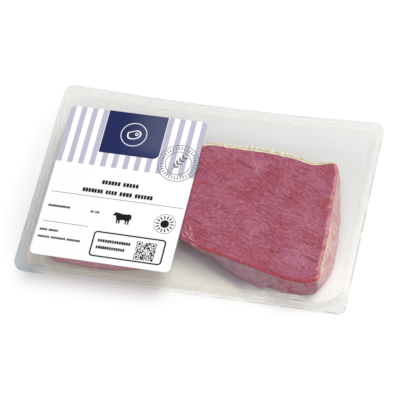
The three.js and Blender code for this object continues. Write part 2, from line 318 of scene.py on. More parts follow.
class LabelSettings(bpy.types.PropertyGroup):
    """Colours of the label and of its print."""

    paper: FloatVectorProperty(
        name="Paper", description="Colour of the paper", size=3, subtype="COLOR",
        default=(0.86, 0.86, 0.86)
    )
    stripe: FloatVectorProperty(
        name="Stripes", description="Colour of the stripes", size=3, subtype="COLOR",
        default=(0.44, 0.42, 0.53)
    )
    badge: FloatVectorProperty(
        name="Badge", description="Colour of the dark field", size=3, subtype="COLOR",
        default=(0.010, 0.016, 0.084)
    )
    # The badge lightens towards its right end: a painted sheen.
    badge_sheen: FloatVectorProperty(
        name="Badge fade", description="Colour of its right end", size=3, subtype="COLOR",
        default=(0.067, 0.077, 0.152)
    )
    ink: FloatVectorProperty(
        name="Ink", description="Colour of the dark print", size=3, subtype="COLOR",
        default=(0.005, 0.005, 0.006)
    )
    soft_ink: FloatVectorProperty(
        name="Grey ink", description="Colour of the thin lines", size=3, subtype="COLOR",
        default=(0.13, 0.13, 0.15)
    )
    seed: IntProperty(name="Seed", description="Seed of the word bars and the code square", default=7)


class BeefSettings(bpy.types.PropertyGroup):
    """Colours and grain of the meat."""

    mauve: FloatVectorProperty(
        name="Mauve", description="Main colour of the cut face", size=3, subtype="COLOR",
        default=(0.34, 0.056, 0.130)
    )
    bloom: FloatVectorProperty(
        name="Bloom", description="Colour of its palest zones", size=3, subtype="COLOR",
        default=(0.42, 0.12, 0.20)
    )
    lean: FloatVectorProperty(
        name="Lean", description="Colour of its redder zones", size=3, subtype="COLOR",
        default=(0.30, 0.020, 0.054)
    )
    deep: FloatVectorProperty(
        name="Deep", description="Colour of the darker grain", size=3, subtype="COLOR",
        default=(0.20, 0.006, 0.020)
    )
    pale: FloatVectorProperty(
        name="Pale", description="Colour of the paler fibres", size=3, subtype="COLOR",
        default=(0.50, 0.19, 0.26)
    )
    flesh: FloatVectorProperty(
        name="Flesh", description="Colour of the bare sides", size=3, subtype="COLOR",
        default=(0.37, 0.135, 0.185)
    )
    skin: FloatVectorProperty(
        name="Skin", description="Colour of the silver skin", size=3, subtype="COLOR",
        default=(0.46, 0.23, 0.30)
    )
    blush: FloatVectorProperty(
        name="Pale side", description="Colour of the side facing right", size=3, subtype="COLOR",
        default=(0.60, 0.49, 0.48)
    )
    fat: FloatVectorProperty(
        name="Fat", description="Colour of fat and sinew", size=3, subtype="COLOR",
        default=(0.70, 0.42, 0.38)
    )
    cream: FloatVectorProperty(
        name="Cream", description="Colour of the fat along the back edge", size=3, subtype="COLOR",
        default=(0.80, 0.76, 0.56)
    )
    ragged: FloatVectorProperty(
        name="Ragged edge", description="Colour of the torn edge on the right", size=3, subtype="COLOR",
        default=(0.58, 0.25, 0.25)
    )
    edge: FloatVectorProperty(
        name="Wet edge", description="Colour of the wet front edge", size=3, subtype="COLOR",
        default=(0.50, 0.012, 0.040)
    )
    grain_angle: FloatProperty(
        name="Grain", description="Heading of the fibres", default=math.radians(-24), subtype="ANGLE"
    )
    relief: FloatProperty(name="Relief", description="Depth of the grain", default=0.22 * MM, unit="LENGTH")
    flecks: IntProperty(name="Flecks", description="Number of pale flecks on a fillet", default=130)
    seed: IntProperty(name="Seed", description="Seed of the flecks", default=11)


class StageSettings(bpy.types.PropertyGroup):
    """Floor, lights and camera."""

    elevation: FloatProperty(
        name="Elevation", description="Camera height angle", default=math.radians(59.47), subtype="ANGLE"
    )
    azimuth: FloatProperty(
        name="Azimuth", description="Camera heading, from the front", default=math.radians(25.54),
        subtype="ANGLE"
    )
    roll: FloatProperty(name="Roll", description="Camera roll", default=math.radians(-14.63), subtype="ANGLE")
    distance: FloatProperty(name="Distance", description="Camera distance", default=1.5005, unit="LENGTH")
    focal: FloatProperty(name="Focal length", description="In picture widths", default=5.5)
    key: FloatProperty(name="Key light", description="Power of the key light", default=69.0, unit="POWER")
    fill: FloatProperty(name="Fill light", description="Power of the front light", default=13.0, unit="POWER")
    sky: FloatProperty(name="Sky", description="Strength of the even light", default=0.74)


class Field:
    """A value inside a node tree. Sums and products of fields add the nodes that work them out."""

    def __init__(self, nodes, socket):
        self.nodes = nodes
        self.socket = socket

    def math(self, operation, *others, clamp=False):
        """The result of a maths node on this value and others."""
        inputs = dict(enumerate((self, *others)))
        node = self.nodes.add("ShaderNodeMath", inputs, operation=operation, use_clamp=clamp)
        return Field(self.nodes, node.outputs[0])

    def __add__(self, other):
        return self.math("ADD", other)

    __radd__ = __add__

    def __sub__(self, other):
        return self.math("SUBTRACT", other)

    def __rsub__(self, other):
        return (self * -1) + other

    def __mul__(self, other):
        return self.math("MULTIPLY", other)

    __rmul__ = __mul__

    def __truediv__(self, other):
        return self.math("DIVIDE", other)

    def above(self, other):
        """1 where this value is the greater one, and 0 elsewhere."""
        return self.math("GREATER_THAN", other)

    def clamped(self):
        """Held between 0 and 1."""
        return self.math("ADD", 0.0, clamp=True)

    def ramp(self, low, high):
        """Rises smoothly from 0 at low to 1 at high."""
        inputs = {"Value": self, "From Min": low, "From Max": high, "To Min": 0.0, "To Max": 1.0}
        node = self.nodes.add("ShaderNodeMapRange", inputs, interpolation_type="SMOOTHSTEP")
        return Field(self.nodes, node.outputs["Result"])

    def over(self, low, high):
        """The same between two lengths in millimetres."""
        return self.ramp(low * MM, high * MM)

    def towards(self, other, share):
        """A mix of this value and another, by the share of the other."""
        return self + (other - self) * share


class Nodes:
    """Adds nodes to a tree and links them."""

    def __init__(self, tree):
        self.tree = tree

    def add(self, kind, inputs=None, **settings):
        """A new node with its settings and inputs, which can be fields, sockets or plain values."""
        node = self.tree.nodes.new(kind)
        for name, value in settings.items():
            setattr(node, name, value)
        for name, value in (inputs or {}).items():
            self.feed(node.inputs[name], value)
        return node

    def feed(self, socket, value):
        """Links a field or a socket to an input, or sets a plain value on it."""
        if isinstance(value, Field):
            value = value.socket
        if isinstance(value, bpy.types.NodeSocket):
            self.tree.links.new(value, socket)
        else:
            socket.default_value = value

    def field(self, kind, inputs=None, output=0, **settings):
        """One output of a new node."""
        return Field(self, self.add(kind, inputs, **settings).outputs[output])

    def mixed(self, share, first, second):
        """Two colours mixed by the share of the second."""
        return self.field("ShaderNodeMix", {0: share, 6: first, 7: second}, 2, data_type="RGBA")

    def multiplied(self, vector, shares):
        """A vector times another, part by part. It stretches the noise that reads it."""
        return self.field("ShaderNodeVectorMath", {0: vector, 1: shares}, operation="MULTIPLY")

    def scaled(self, vector, size):
        """A vector times a number."""
        return self.field("ShaderNodeVectorMath", {0: vector, "Scale": size}, operation="SCALE")

    def surface(self, shader):
        """Ends a material in a shader."""
        self.add("ShaderNodeOutputMaterial", {"Surface": shader.outputs[0]})

    def cover(self, share, through, shader):
        """Ends in a shader that covers a share of what shows through in a colour."""
        clear = self.add("ShaderNodeBsdfTransparent", {"Color": through})
        self.surface(self.add("ShaderNodeMixShader", {0: share, 1: clear.outputs[0], 2: shader.outputs[0]}))

    def parts(self, vector):
        """The x, y and z of a vector."""
        split = self.add("ShaderNodeSeparateXYZ", {0: vector})
        return [Field(self, split.outputs[axis]) for axis in "XYZ"]

    def noise(self, vector, scale, detail=3.0, roughness=0.5, distortion=0.0):
        """A noise pattern, read at a vector, around one half."""
        inputs = {"Vector": vector, "Scale": scale, "Detail": detail, "Roughness": roughness}
        return self.field("ShaderNodeTexNoise", {**inputs, "Distortion": distortion})


class GeometryTree(Nodes):
    """A geometry node tree with named inputs, which ends in realized instances and a material."""

    KINDS = {float: "NodeSocketFloat", int: "NodeSocketInt"}

    def __init__(self, name, defaults):
        super().__init__(bpy.data.node_groups.new(name, "GeometryNodeTree"))
        self.tree.is_modifier = True
        face = self.tree.interface
        face.new_socket("Geometry", in_out="OUTPUT", socket_type="NodeSocketGeometry")
        face.new_socket("Geometry", in_out="INPUT", socket_type="NodeSocketGeometry")
        self.values = defaults
        for label, value in defaults.items():
            socket = face.new_socket(label, in_out="INPUT", socket_type=self.KINDS[type(value)])
            socket.default_value = value
        self.entry = self.add("NodeGroupInput")
        self.geometry = self.entry.outputs["Geometry"]

    def __getitem__(self, label):
        """The named input with this label."""
        return Field(self, self.entry.outputs[label])

    def attribute(self, label):
        """A number that each point of the mesh carries."""
        return self.field("GeometryNodeInputNamedAttribute", {"Name": label}, "Attribute", data_type="FLOAT")

    def vector(self, x, y, z):
        """A vector from three numbers or fields."""
        return self.field("ShaderNodeCombineXYZ", {"X": x, "Y": y, "Z": z})

    def finish(self, geometry, material):
        """Ends the tree in realized instances and a material."""
        realized = self.add("GeometryNodeRealizeInstances", {"Geometry": geometry}).outputs[0]
        painted = self.add("GeometryNodeSetMaterial", {"Geometry": realized, "Material": material}).outputs[0]
        self.add("NodeGroupOutput", {0: painted})

    def run(self, name, mesh=None):
        """Runs the tree on a mesh and returns the result as a plain mesh object."""
        obj = linked(name, mesh or bpy.data.meshes.new(name))
        modifier = obj.modifiers.new(self.tree.name, "NODES")
        modifier.node_group = self.tree
        for item in self.tree.interface.items_tree:
            if item.in_out == "INPUT" and item.name in self.values:
                modifier[item.identifier] = self.values[item.name]
        depsgraph = bpy.context.evaluated_depsgraph_get()
        evaluated = obj.evaluated_get(depsgraph)
        made = bpy.data.meshes.new_from_object(evaluated, preserve_all_data_layers=True, depsgraph=depsgraph)
        obj.modifiers.remove(modifier)
        obj.data = made
        return obj


def meshed(name, form):
    """The mesh of a finished form, which is freed."""
    mesh = bpy.data.meshes.new(name)
    form.to_mesh(mesh)
    form.free()
    return mesh


def bridge(form, lower, upper):
    """Faces between two closed rows of points."""
    for i, vert in enumerate(lower):
        j = (i + 1) % len(lower)
        form.faces.new((vert, lower[j], upper[j], upper[i]))


def sleeve(form, rings, endless=False):
    """A tube through closed rows of points. Its ends are closed, or meet where it is endless."""
    for lower, upper in zip(rings, rings[1:] + rings[:1] if endless else rings[1:]):
        bridge(form, lower, upper)
    if not endless:
        form.faces.new(list(reversed(rings[0])))
        form.faces.new(rings[-1])


def linked(name, mesh):
    """A mesh as an object in the scene."""
    obj = bpy.data.objects.new(name, mesh)
    bpy.context.scene.collection.objects.link(obj)
    return obj


def delivered(obj, slot, *nodes, smooth=True):
    """Hands a finished piece over: its shading, its body and the solids it stands for, which it hides. Its
    finish, the slot, is not used.
    """
    if len(obj.data.polygons) == 0:
        raise RuntimeError(f"{obj.name} came out empty")
    obj.data.shade_smooth() if smooth else obj.data.shade_flat()
    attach(obj, BODY)
    if nodes:
        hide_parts(*nodes)


def coloured(colour):
    """A colour with full opacity, as the sockets take it."""
    return (*colour, 1.0)


def new_material(name):
    """A material, its nodes, and the place in the object's own coordinates."""
    material = bpy.data.materials.new(name)
    material.use_nodes = True
    material.node_tree.nodes.clear()
    nodes = Nodes(material.node_tree)
    return material, nodes, nodes.add("ShaderNodeTexCoord").outputs["Object"]


def clear_material(name, tint, through, haze, gloss_roughness, zones=None):
    """A thin clear plastic: it lets most light through, and is whiter at grazing angles. A function of the
    nodes and the place can paint light and shade into it: where the sheet is clearer and so lighter (painted
    light), warm in tone (on the left wall, a painted reflection of the meat), greyer (painted shade) and
    purple-grey (a painted shadow of the meat)."""
    material, nodes, place = new_material(name)
    cloud = nodes.noise(place, 38.0, 2.0)
    fine = nodes.noise(place, 420.0, 3.0)
    plastic = nodes.add(
        "ShaderNodeBsdfPrincipled",
        {"Base Color": coloured(tint), "Roughness": (fine * 0.08) + gloss_roughness, "IOR": 1.46},
    )
    grazing = nodes.field("ShaderNodeLayerWeight", {"Blend": 0.18}, "Fresnel")
    share = (cloud * haze * 0.5) + haze * 0.75 + grazing * 0.1
    colour = coloured(through)
    if zones is not None:
        thin, warm, painted_shade, painted_shadow = zones(nodes, place)
        # Painted light and shade: a clearer, lighter sheet; a warm reflection of the meat; grey shade; the
        # purple-grey shadow of the meat.
        share = share * (1 - thin * 0.75) + painted_shade * 0.05
        colour = nodes.mixed(thin, colour, (0.985, 0.985, 0.98, 1.0))
        colour = nodes.mixed(warm, colour, (0.88, 0.85, 0.77, 1.0))
        colour = nodes.mixed(painted_shade, colour, (0.70, 0.72, 0.75, 1.0))
        colour = nodes.mixed(painted_shadow, colour, (0.82, 0.77, 0.81, 1.0))
    nodes.cover(share, colour, plastic)
    return material


def ink_material(name, colour, roughness=0.42, sheen=None):
    """Printed ink with a faint mottle. It can lighten to another colour between two x and two y, as a painted
    sheen.
    """
    material, nodes, place = new_material(name)
    mottle = nodes.noise(place, 900.0, 4.0)
    paler = [min(1.0, part * 1.12 + 0.004) for part in colour]
    base = nodes.mixed(mottle, coloured(colour), coloured(paler))
    if sheen is not None:
        other, span_x, span_y = sheen
        x, y, _ = nodes.parts(place)
        base = nodes.mixed(x.over(*span_x) * y.over(*span_y), base, coloured(other))
    shader = nodes.add(
        "ShaderNodeBsdfPrincipled",
        {
            "Base Color": base,
            "Roughness": (mottle * 0.12) + roughness,
            "Specular IOR Level": 0.1,
        },
    )
    nodes.surface(shader)
    return material


# The tray and the film are both rings round the pack. Each ring holds where it stands, and one
# rule of nodes works out its points from the pack's sizes.


def ring_stack(name, levels, endless=False):
    """A tube of rings. A level is (inset, height, edge, shrink): inwards from the mouth, or from the
    outer edge where edge is 1, and drawn to the middle by shrink. Its two ends are closed, or meet
    where it is endless."""
    form = bmesh.new()
    layers = {label: form.verts.layers.float.new(label) for label in RING_FIELDS}
    rings = []
    for level in levels:
        row = []
        for corner in range(4):
            side_steps = SHORT_STEPS if corner % 2 == 0 else LONG_STEPS
            stations = [(step / CORNER_STEPS, 0.0) for step in range(CORNER_STEPS + 1)]
            stations += [(1.0, step / side_steps) for step in range(1, side_steps)]
            for turn, along in stations:
                vert = form.verts.new((0.0, 0.0, 0.0))
                for label, value in zip(RING_FIELDS, (corner, turn, along, *level)):
                    vert[layers[label]] = value
                row.append(vert)
        rings.append(row)
    sleeve(form, rings, endless)
    return meshed(name, form)


def corner_value(tree, corner, label):
    """The named input of the corner that a point belongs to."""
    total = tree[f"{label} 0"] * corner.math("COMPARE", 0.0, 0.1)
    for index in (1, 2, 3):
        total = total + tree[f"{label} {index}"] * corner.math("COMPARE", float(index), 0.1)
    return total


def arc_point(tree, corner, angle, box, depth, edge, inset):
    """The point at an angle round a corner of the ring."""
    mouth, floor, outer = (
        corner_value(tree, corner, f"{part} corner") for part in ("Mouth", "Floor", "Outer")
    )
    radius = mouth.towards(floor, depth).towards(outer - inset, edge)
    on_right = 1 - corner.above(1.5)
    at_back = corner.above(0.5) - corner.above(2.5)
    centre_x = (box["left"] + radius).towards(box["right"] - radius, on_right)
    centre_y = (box["front"] + radius).towards(box["back"] - radius, at_back)
    return centre_x + radius * angle.math("COSINE"), centre_y + radius * angle.math("SINE")


def ring_tree(name, settings, material, waves=0.0, flange=None, corners=None):
    """The rule that places the rings of the tray, the film and the seal lines. Waves are the depth of
    the film's waves, and a flange and corners of its own take the place of the tray's."""
    left, right, front, back = flange or settings.flange
    sizes = {
        "Width": PACK_WIDTH, "Depth": PACK_DEPTH, "Height": RIM_HEIGHT, "Sheet": settings.wall,
        "Flange left": left, "Flange right": right, "Flange front": front, "Flange back": back,
        "Sag": settings.sag, "Straight end": SAG_FREE_END, "Taper": settings.taper, "Taper from": 0.0,
    }
    corners = corners or MOUTH_CORNERS
    for label, radii in (("Mouth", corners), ("Floor", FLOOR_CORNERS), ("Outer", OUTER_CORNERS)):
        sizes.update({f"{label} corner {index}": radius for index, radius in enumerate(radii)})
    if waves:
        start, full = (LABEL_HIGH.x + reach for reach in WAVES_FROM)
        sizes.update({"Wave": waves, "Waves start": start, "Waves full": full})
    tree = GeometryTree(name, sizes)
    corner, turn, along, inset, height, edge, shrink = (tree.attribute(label) for label in RING_FIELDS)
    inside = 1 - edge
    depth = ((tree["Height"] - height) / (tree["Height"] - tree["Sheet"])).clamped() * inside
    box = {
        "left": tree["Width"] * -0.5 + tree["Flange left"] * inside + inset,
        "right": tree["Width"] * 0.5 - tree["Flange right"] * inside - inset,
        "front": tree["Depth"] * -0.5 + tree["Flange front"] * inside + inset,
        "back": tree["Depth"] * 0.5 - tree["Flange back"] * inside - inset,
    }
    quarter = math.pi / 2
    x, y = arc_point(tree, corner, (corner - 1 + turn) * quarter, box, depth, edge, inset)
    following = (corner + 1).math("MODULO", 4.0)
    next_x, next_y = arc_point(tree, following, corner * quarter, box, depth, edge, inset)
    x = x.towards(next_x, along)
    y = y.towards(next_y, along)
    half = (box["right"] - box["left"]) * 0.5 - tree["Straight end"]
    middle = (box["right"] + box["left"]) * 0.5
    across = ((x - middle) / half).math("POWER", 2.0)
    across = (1 - across).math("MAXIMUM", 0.0)
    run = ((x - tree["Taper from"]) / (box["right"] - tree["Taper from"])).math("MAXIMUM", 0.0)
    sag = tree["Sag"] * across * (y / box["back"]).math("MAXIMUM", 0.0)
    taper = tree["Taper"] * run * (y / box["front"]).math("MAXIMUM", 0.0)
    y = y + (taper - sag) * (1 - depth)
    x = x * (1 - shrink)
    y = y * (1 - shrink)
    if waves:
        place = tree.vector(x * 0.35, y, 0.0)
        pattern = tree.noise(place, 34.0, 1.0, distortion=0.6)
        calm = x.ramp(tree["Waves start"], tree["Waves full"]) * shrink.ramp(0.02, 0.16)
        height = height - tree["Wave"] * pattern * calm
    placed = tree.add(
        "GeometryNodeSetPosition", {"Geometry": tree.geometry, "Position": tree.vector(x, y, height)}
    )
    merged = tree.add("GeometryNodeMergeByDistance", {"Geometry": placed.outputs[0], "Distance": 0.002 * MM})
    tree.finish(merged.outputs[0], material)
    return tree


def cavity_section(settings, offset):
    """The cavity's section from the wall's foot to the floor, as (inset, height) pairs."""
    drop = RIM_HEIGHT - settings.wall
    lean = math.atan(settings.draft / drop)
    radius = settings.floor_radius
    tangent = settings.wall + radius * (1 - math.sin(lean))
    centre = settings.draft * (RIM_HEIGHT - tangent) / drop + radius * math.cos(lean)
    points = []
    for step in range(FLOOR_STEPS + 1):
        angle = lean + (step / FLOOR_STEPS) * (math.pi / 2 - lean)
        inset = centre - (radius + offset) * math.cos(angle)
        points.append((inset, settings.wall + radius - (radius + offset) * math.sin(angle)))
    return points


def tray_levels(settings):
    """Every ring of the tray's sheet, from the underside out over the edge and back down inside."""
    top = RIM_HEIGHT
    wall = settings.wall
    mouth = settings.mouth_radius
    underside = top - wall
    outside = [(inset, height, 0, 0) for inset, height in reversed(cavity_section(settings, wall))]
    inside = [(inset, height, 0, 0) for inset, height in cavity_section(settings, 0)]
    rounding = []
    for step in range(MOUTH_STEPS + 1):
        angle = step / MOUTH_STEPS * MOUTH_TURN
        rounding.append((mouth * (math.sin(angle) - 0.9), top - mouth * (1 - math.cos(angle)), 0, 0))
    return [
        *outside,
        (-wall * 0.6, underside - wall, 0, 0),
        (-wall * 1.6, underside, 0, 0),
        (wall * 1.4, underside, 1, 0),
        (wall, top - settings.lip_drop, 1, 0),
        (wall * 0.15, top - settings.lip_drop, 1, 0),
        (0, top - settings.lip_drop + wall * 0.15, 1, 0),
        (0, top - wall * 0.5, 1, 0),
        (wall * 0.12, top - wall * 0.16, 1, 0),
        (wall * 0.4, top, 1, 0),
        *rounding,
        *inside,
    ]


def tray_zones(nodes, place):
    """Where light and shade are painted on the tray's sheet, as shares: where it is clearer and so lighter
    (painted light), warm in tone (on the left wall, a painted reflection of the meat), greyer (painted shade)
    and purple-grey (a painted shadow of the right fillet).
    """
    height = nodes.field("ShaderNodeAttribute", None, "Fac", attribute_name="height")
    x, y, _ = nodes.parts(place)
    below_rim = 1 - height.ramp(RIM_HEIGHT - 4 * MM, RIM_HEIGHT - 1.5 * MM)
    wall = height.over(2.5, 6) * below_rim
    flange = height.ramp(RIM_HEIGHT - 2.6 * MM, RIM_HEIGHT - 1.4 * MM)
    base = height.over(2, 1.2)
    forward = ((y - 45 * MM) / (-105 * MM)).clamped()
    # Thin: painted light. The sheet is drawn clearer, and so lighter, where shade would darken it: the front
    # wall, the right end, the middle of the front flange, the base's front.
    thin = (wall * y.over(-30, -60) + x.over(86, 104) * forward).clamped()
    near = flange * y.over(-52, -64)
    floor = base * y.over(-15, -60)
    thin = thin * (1 - near) + near * x.over(-112, -95) * x.over(102, 80) + floor * 0.9
    # Warm: a painted reflection of the meat on the left wall's front, and a warm tint on the base's front as
    # far as the peel corner.
    warm = wall * x.over(-98, -104) * y.over(65, 25) * 0.8 + floor * x.over(60, 30) * 0.3
    # Painted shade: the left flange greyer, more so to the front, where the ground seen through it lies in
    # shade.
    painted_shade = flange * x.over(-88, -106) * forward
    # Painted shadow: a purple-grey band on the base along the right fillet's front foot, where the fillet's
    # shadow falls. It runs at a slant.
    ahead = y + (x * 0.488 + 31.6 * MM)
    painted_shadow = base * ahead.over(-8.5, -2) * ahead.over(7, 4)
    painted_shadow = painted_shadow * x.over(-14, -8) * x.over(50, 34)
    return thin, warm, painted_shade, painted_shadow


class MEATPACK_OT_tray(bpy.types.Operator):
    """Build the clear tray with its flange, turned-down edge and peel corner"""

    bl_idname = "meatpack.tray"
    bl_label = "Tray"

    def execute(self, context):
        settings = context.scene.meatpack_tray

        through = (0.915, 0.922, 0.915)
        material = clear_material("Tray plastic", settings.tint, through, settings.haze, 0.12, tray_zones)
        tree = ring_tree("Tray rings", settings, material)
        tray = tree.run("tray_shell", ring_stack("tray_shell", tray_levels(settings)))
        delivered(tray, "tray_plastic", "tray")
        tray.visible_shadow = False
        tray.data.set_sharp_from_angle(angle=SHARP_ANGLE)
        return {"FINISHED"}


class MEATPACK_OT_film(bpy.types.Operator):
    """Lay the clear film over the tray, with the lines of its seal, rim and peel corner"""

    bl_idname = "meatpack.film"
    bl_label = "Film"

    def execute(self, context):
        tray = context.scene.meatpack_tray
        settings = context.scene.meatpack_film
        material = clear_material("Lid film", (0.92, 0.93, 0.93), (0.985, 0.985, 0.985), settings.haze, 0.06)
        shrinks = [0, 0.015, 0.03, 0.05, *(0.05 + 0.95 * step / FILM_STEPS for step in range(1, FILM_STEPS))]
        top = [(0, FILM_HIGH.z, 1, shrink) for shrink in shrinks]
        under = [(0, FILM_LOW.z, 1, shrink) for shrink in reversed(shrinks)]
        tree = ring_tree("Film rings", tray, material, waves=settings.wave)
        film = tree.run("lid_film", ring_stack("lid_film", [*under, *top]))
        delivered(film, "lid_film", "film")
        film.visible_shadow = False
        film.data.set_sharp_from_angle(angle=SHARP_ANGLE)
        warm = seal_material("Seal line", (0.86, 0.85, 0.80, 1.0), 0.17)
        half = settings.ridge
        low, high = (FILM_HIGH.z + level for level in SEAL_LINE)
        shine = seal_material("Corner shine", (0.97, 0.97, 0.98, 1.0), 0.6, ((0, 70), (-35, -58)))
        shade = seal_material("Rim line", (0.42, 0.43, 0.44, 1.0), 0.4, ((-60, 60), (90, 20)))
        # Name, a flange and corners of its own, inset, 1 on the outer edge, and material.
        lines = (
            ("inner", None, None, -0.9 * MM, 0, warm), ("outer", settings.seal, SEAL_CORNERS, 0.0, 0, warm),
            ("shine_1", None, None, -2.4 * MM, 0, shine), ("shine_2", None, None, 0.7 * MM, 0, shine),
            ("shine_3", None, None, 2.2 * MM, 0, shine), ("rim", None, None, 0.45 * MM, 1, shade),
        )
        for place, flange, corners, inset, edge, material in lines:
            section = [(-half, low), (-half * 0.4, high), (half * 0.4, high), (half, low)]
            levels = [(inset + across, height, edge, 0) for across, height in section]
            tree = ring_tree(f"Seal {place}", tray, material, flange=flange, corners=corners)
            ridge = tree.run(f"seal_{place}", ring_stack(f"seal_{place}", levels, endless=True))
            delivered(ridge, "lid_film")
            ridge.visible_shadow = False
        return {"FINISHED"}


def seal_material(name, colour, cover, span=None):
    """A line on the film over the flange. With a span it comes in over two x and two y, in broken
    runs, as where the light catches the folds of the peel corner."""
    material, nodes, place = new_material(name)
    mottle = nodes.noise(place, 300.0, 3.0)
    share = mottle * 0.1 + (cover - 0.05)
    if span is not None:
        x, y, _ = nodes.parts(place)
        breaks = nodes.noise(place, 55.0, 2.0).ramp(0.4, 0.6)
        share = share * breaks * x.over(*span[0]) * y.over(*span[1])
    glue = nodes.add("ShaderNodeBsdfPrincipled", {"Base Color": colour, "Roughness": (mottle * 0.2) + 0.25})
    nodes.cover(share, (0.99, 0.985, 0.97, 1.0), glue)
    return material


def rounded_outline(left, right, front, back, radii, steps=10):
    """Points round a rectangle with its own radius at each corner, from the front right corner."""
    if not isinstance(radii, (list, tuple)):
        radii = [radii] * 4
    first, second, third, fourth = radii
    centres = [
        (right - first, front + first, first), (right - second, back - second, second),
        (left + third, back - third, third), (left + fourth, front + fourth, fourth),
    ]
    points = []
    for corner, (x, y, radius) in enumerate(centres):
        for step in range(steps + 1):
            angle = (corner - 1 + step / steps) * math.pi / 2
            points.append((x + radius * math.cos(angle), y + radius * math.sin(angle)))
    return points


def circle(x, y, radius, steps=72):
    """Points round a circle."""
    return [
        (x + radius * math.cos(2 * math.pi * i / steps), y + radius * math.sin(2 * math.pi * i / steps))
        for i in range(steps)
    ]


def add_plate(form, outline, low, high):
    """A flat plate with an outline in millimetres, counter-clockwise, between two heights in metres."""
    bottom = [form.verts.new((x * MM, y * MM, low)) for x, y in outline]
    top = [form.verts.new((x * MM, y * MM, high)) for x, y in outline]
    form.faces.new(list(reversed(bottom)))
    form.faces.new(top)
    bridge(form, bottom, top)


def add_band(form, outer, inner, low, high):
    """A flat closed band between two outlines that have equally many points."""
    corners = ((outer, low), (outer, high), (inner, high), (inner, low))
    rings = [[form.verts.new((x * MM, y * MM, height)) for x, y in outline] for outline, height in corners]
    sleeve(form, rings, endless=True)


def inked(obj):
    """Hands a piece of print over."""
    delivered(obj, "label_paper", smooth=False)


def printed(name, build, material):
    """A piece of print on the label, built by a function that adds plates and bands."""
    form = bmesh.new()
    build(form)
    bmesh.ops.recalc_face_normals(form, faces=form.faces)
    mesh = meshed(name, form)
    mesh.materials.append(material)
    inked(linked(name, mesh))


def layer(index):
    """Bottom and top of one of the print's layers."""
    low = PRINT_LOW + index * PRINT_STEP
    return low, low + PRINT_STEP * 0.8


class MEATPACK_OT_label(bpy.types.Operator):
    """Lay the paper label on the film"""

    bl_idname = "meatpack.label"
    bl_label = "Label"

    def execute(self, context):
        settings = context.scene.meatpack_label
        material, nodes, place = new_material("Label paper")
        fibres = nodes.noise(place, 1400.0, 5.0, 0.6)
        cloud = nodes.noise(place, 60.0, 2.0)
        bump = nodes.add("ShaderNodeBump", {"Strength": 0.08, "Distance": 0.02 * MM, "Height": fibres})
        duller = [part * 0.985 for part in settings.paper]
        shade = nodes.mixed(cloud * 0.5, coloured(settings.paper), coloured(duller))
        paper = nodes.add(
            "ShaderNodeBsdfPrincipled",
            {"Base Color": shade, "Roughness": (fibres * 0.1) + 0.38, "Normal": bump.outputs[0]},
        )
        nodes.surface(paper)
        left, right = LABEL_LOW.x / MM, LABEL_HIGH.x / MM
        front, back = LABEL_LOW.y / MM, LABEL_HIGH.y / MM
        outline = rounded_outline(left, right, front, back, LABEL_RADIUS)
        form = bmesh.new()
        add_plate(form, outline, LABEL_LOW.z, PAPER_HIGH)
        mesh = meshed("paper_label", form)
        mesh.materials.append(material)
        delivered(linked("paper_label", mesh), "label_paper", "label", smooth=False)
        return {"FINISHED"}


def stripe_tree(material):
    """Bars at one pitch over the label's width, cut to the label's rounded outline."""
    low, high = layer(STRIPES)
    width = LABEL_HIGH.x - LABEL_LOW.x
    tree = GeometryTree(
        "Label stripes",
        {
            "Count": STRIPE_COUNT, "Stripe width": STRIPE_WIDTH * MM, "Front": STRIPES_FRONT * MM,
            "Back": LABEL_HIGH.y, "Left": LABEL_LOW.x, "Right": LABEL_HIGH.x, "Low": low, "High": high,
            "Label depth": LABEL_HIGH.y - LABEL_LOW.y, "Label width": width, "Corner": LABEL_RADIUS * MM,
        },
    )
    pitch = (tree["Label width"] + OVERCUT * 2 - tree["Stripe width"]) / (tree["Count"] - 1)
    middle_y = (tree["Front"] + tree["Back"]) * 0.5
    middle_z = (tree["Low"] + tree["High"]) * 0.5
    start = tree.vector(tree["Left"] + tree["Stripe width"] * 0.5 - OVERCUT, middle_y, middle_z)
    line = tree.add(
        "GeometryNodeMeshLine",
        {"Count": tree["Count"], "Start Location": start, "Offset": tree.vector(pitch, 0.0, 0.0)},
    )
    depth = tree["Back"] - tree["Front"] + OVERCUT
    thick = tree["High"] - tree["Low"]
    bar = tree.add("GeometryNodeMeshCube", {"Size": tree.vector(tree["Stripe width"], depth, thick)})
    bars = tree.add("GeometryNodeInstanceOnPoints", {"Points": line.outputs[0], "Instance": bar.outputs[0]})
    bars = tree.add("GeometryNodeRealizeInstances", {"Geometry": bars.outputs[0]})
    sheet = tree.add(
        "GeometryNodeCurvePrimitiveQuadrilateral",
        {"Width": tree["Label width"], "Height": tree["Label depth"]},
    )
    sheet = tree.add("GeometryNodeFilletCurve", {"Curve": sheet.outputs[0]}, mode="POLY")
    tree.feed(sheet.inputs["Radius"], tree["Corner"])
    tree.feed(sheet.inputs["Count"], 10)
    sheet = tree.add("GeometryNodeFillCurve", {"Curve": sheet.outputs[0]})
    sheet = tree.add(
        "GeometryNodeExtrudeMesh", {"Mesh": sheet.outputs[0], "Offset Scale": 1.0 * MM, "Individual": False}
    )
    centre_x = (tree["Left"] + tree["Right"]) * 0.5
    centre_y = tree["Back"] - tree["Label depth"] * 0.5
    under = tree.vector(centre_x, centre_y, tree["Low"] - 0.5 * MM)
    cutter = tree.add("GeometryNodeTransform", {"Geometry": sheet.outputs[0], "Translation": under})
    cut = tree.add("GeometryNodeMeshBoolean", operation="INTERSECT", solver="EXACT")
    tree.feed(cut.inputs["Mesh 2"], bars.outputs[0])
    tree.feed(cut.inputs["Mesh 2"], cutter.outputs[0])
    tree.finish(cut.outputs[0], material)
    return tree


def centred(tree, blocks, material):
    """Ends a tree of print by moving it to its middle, between its bottom and top."""
    middle = tree.vector(tree["Middle X"], tree["Middle Y"], (tree["Low"] + tree["High"]) * 0.5)
    moved = tree.add("GeometryNodeTransform", {"Geometry": blocks.outputs[0], "Translation": middle})
    tree.finish(moved.outputs[0], material)
    return tree


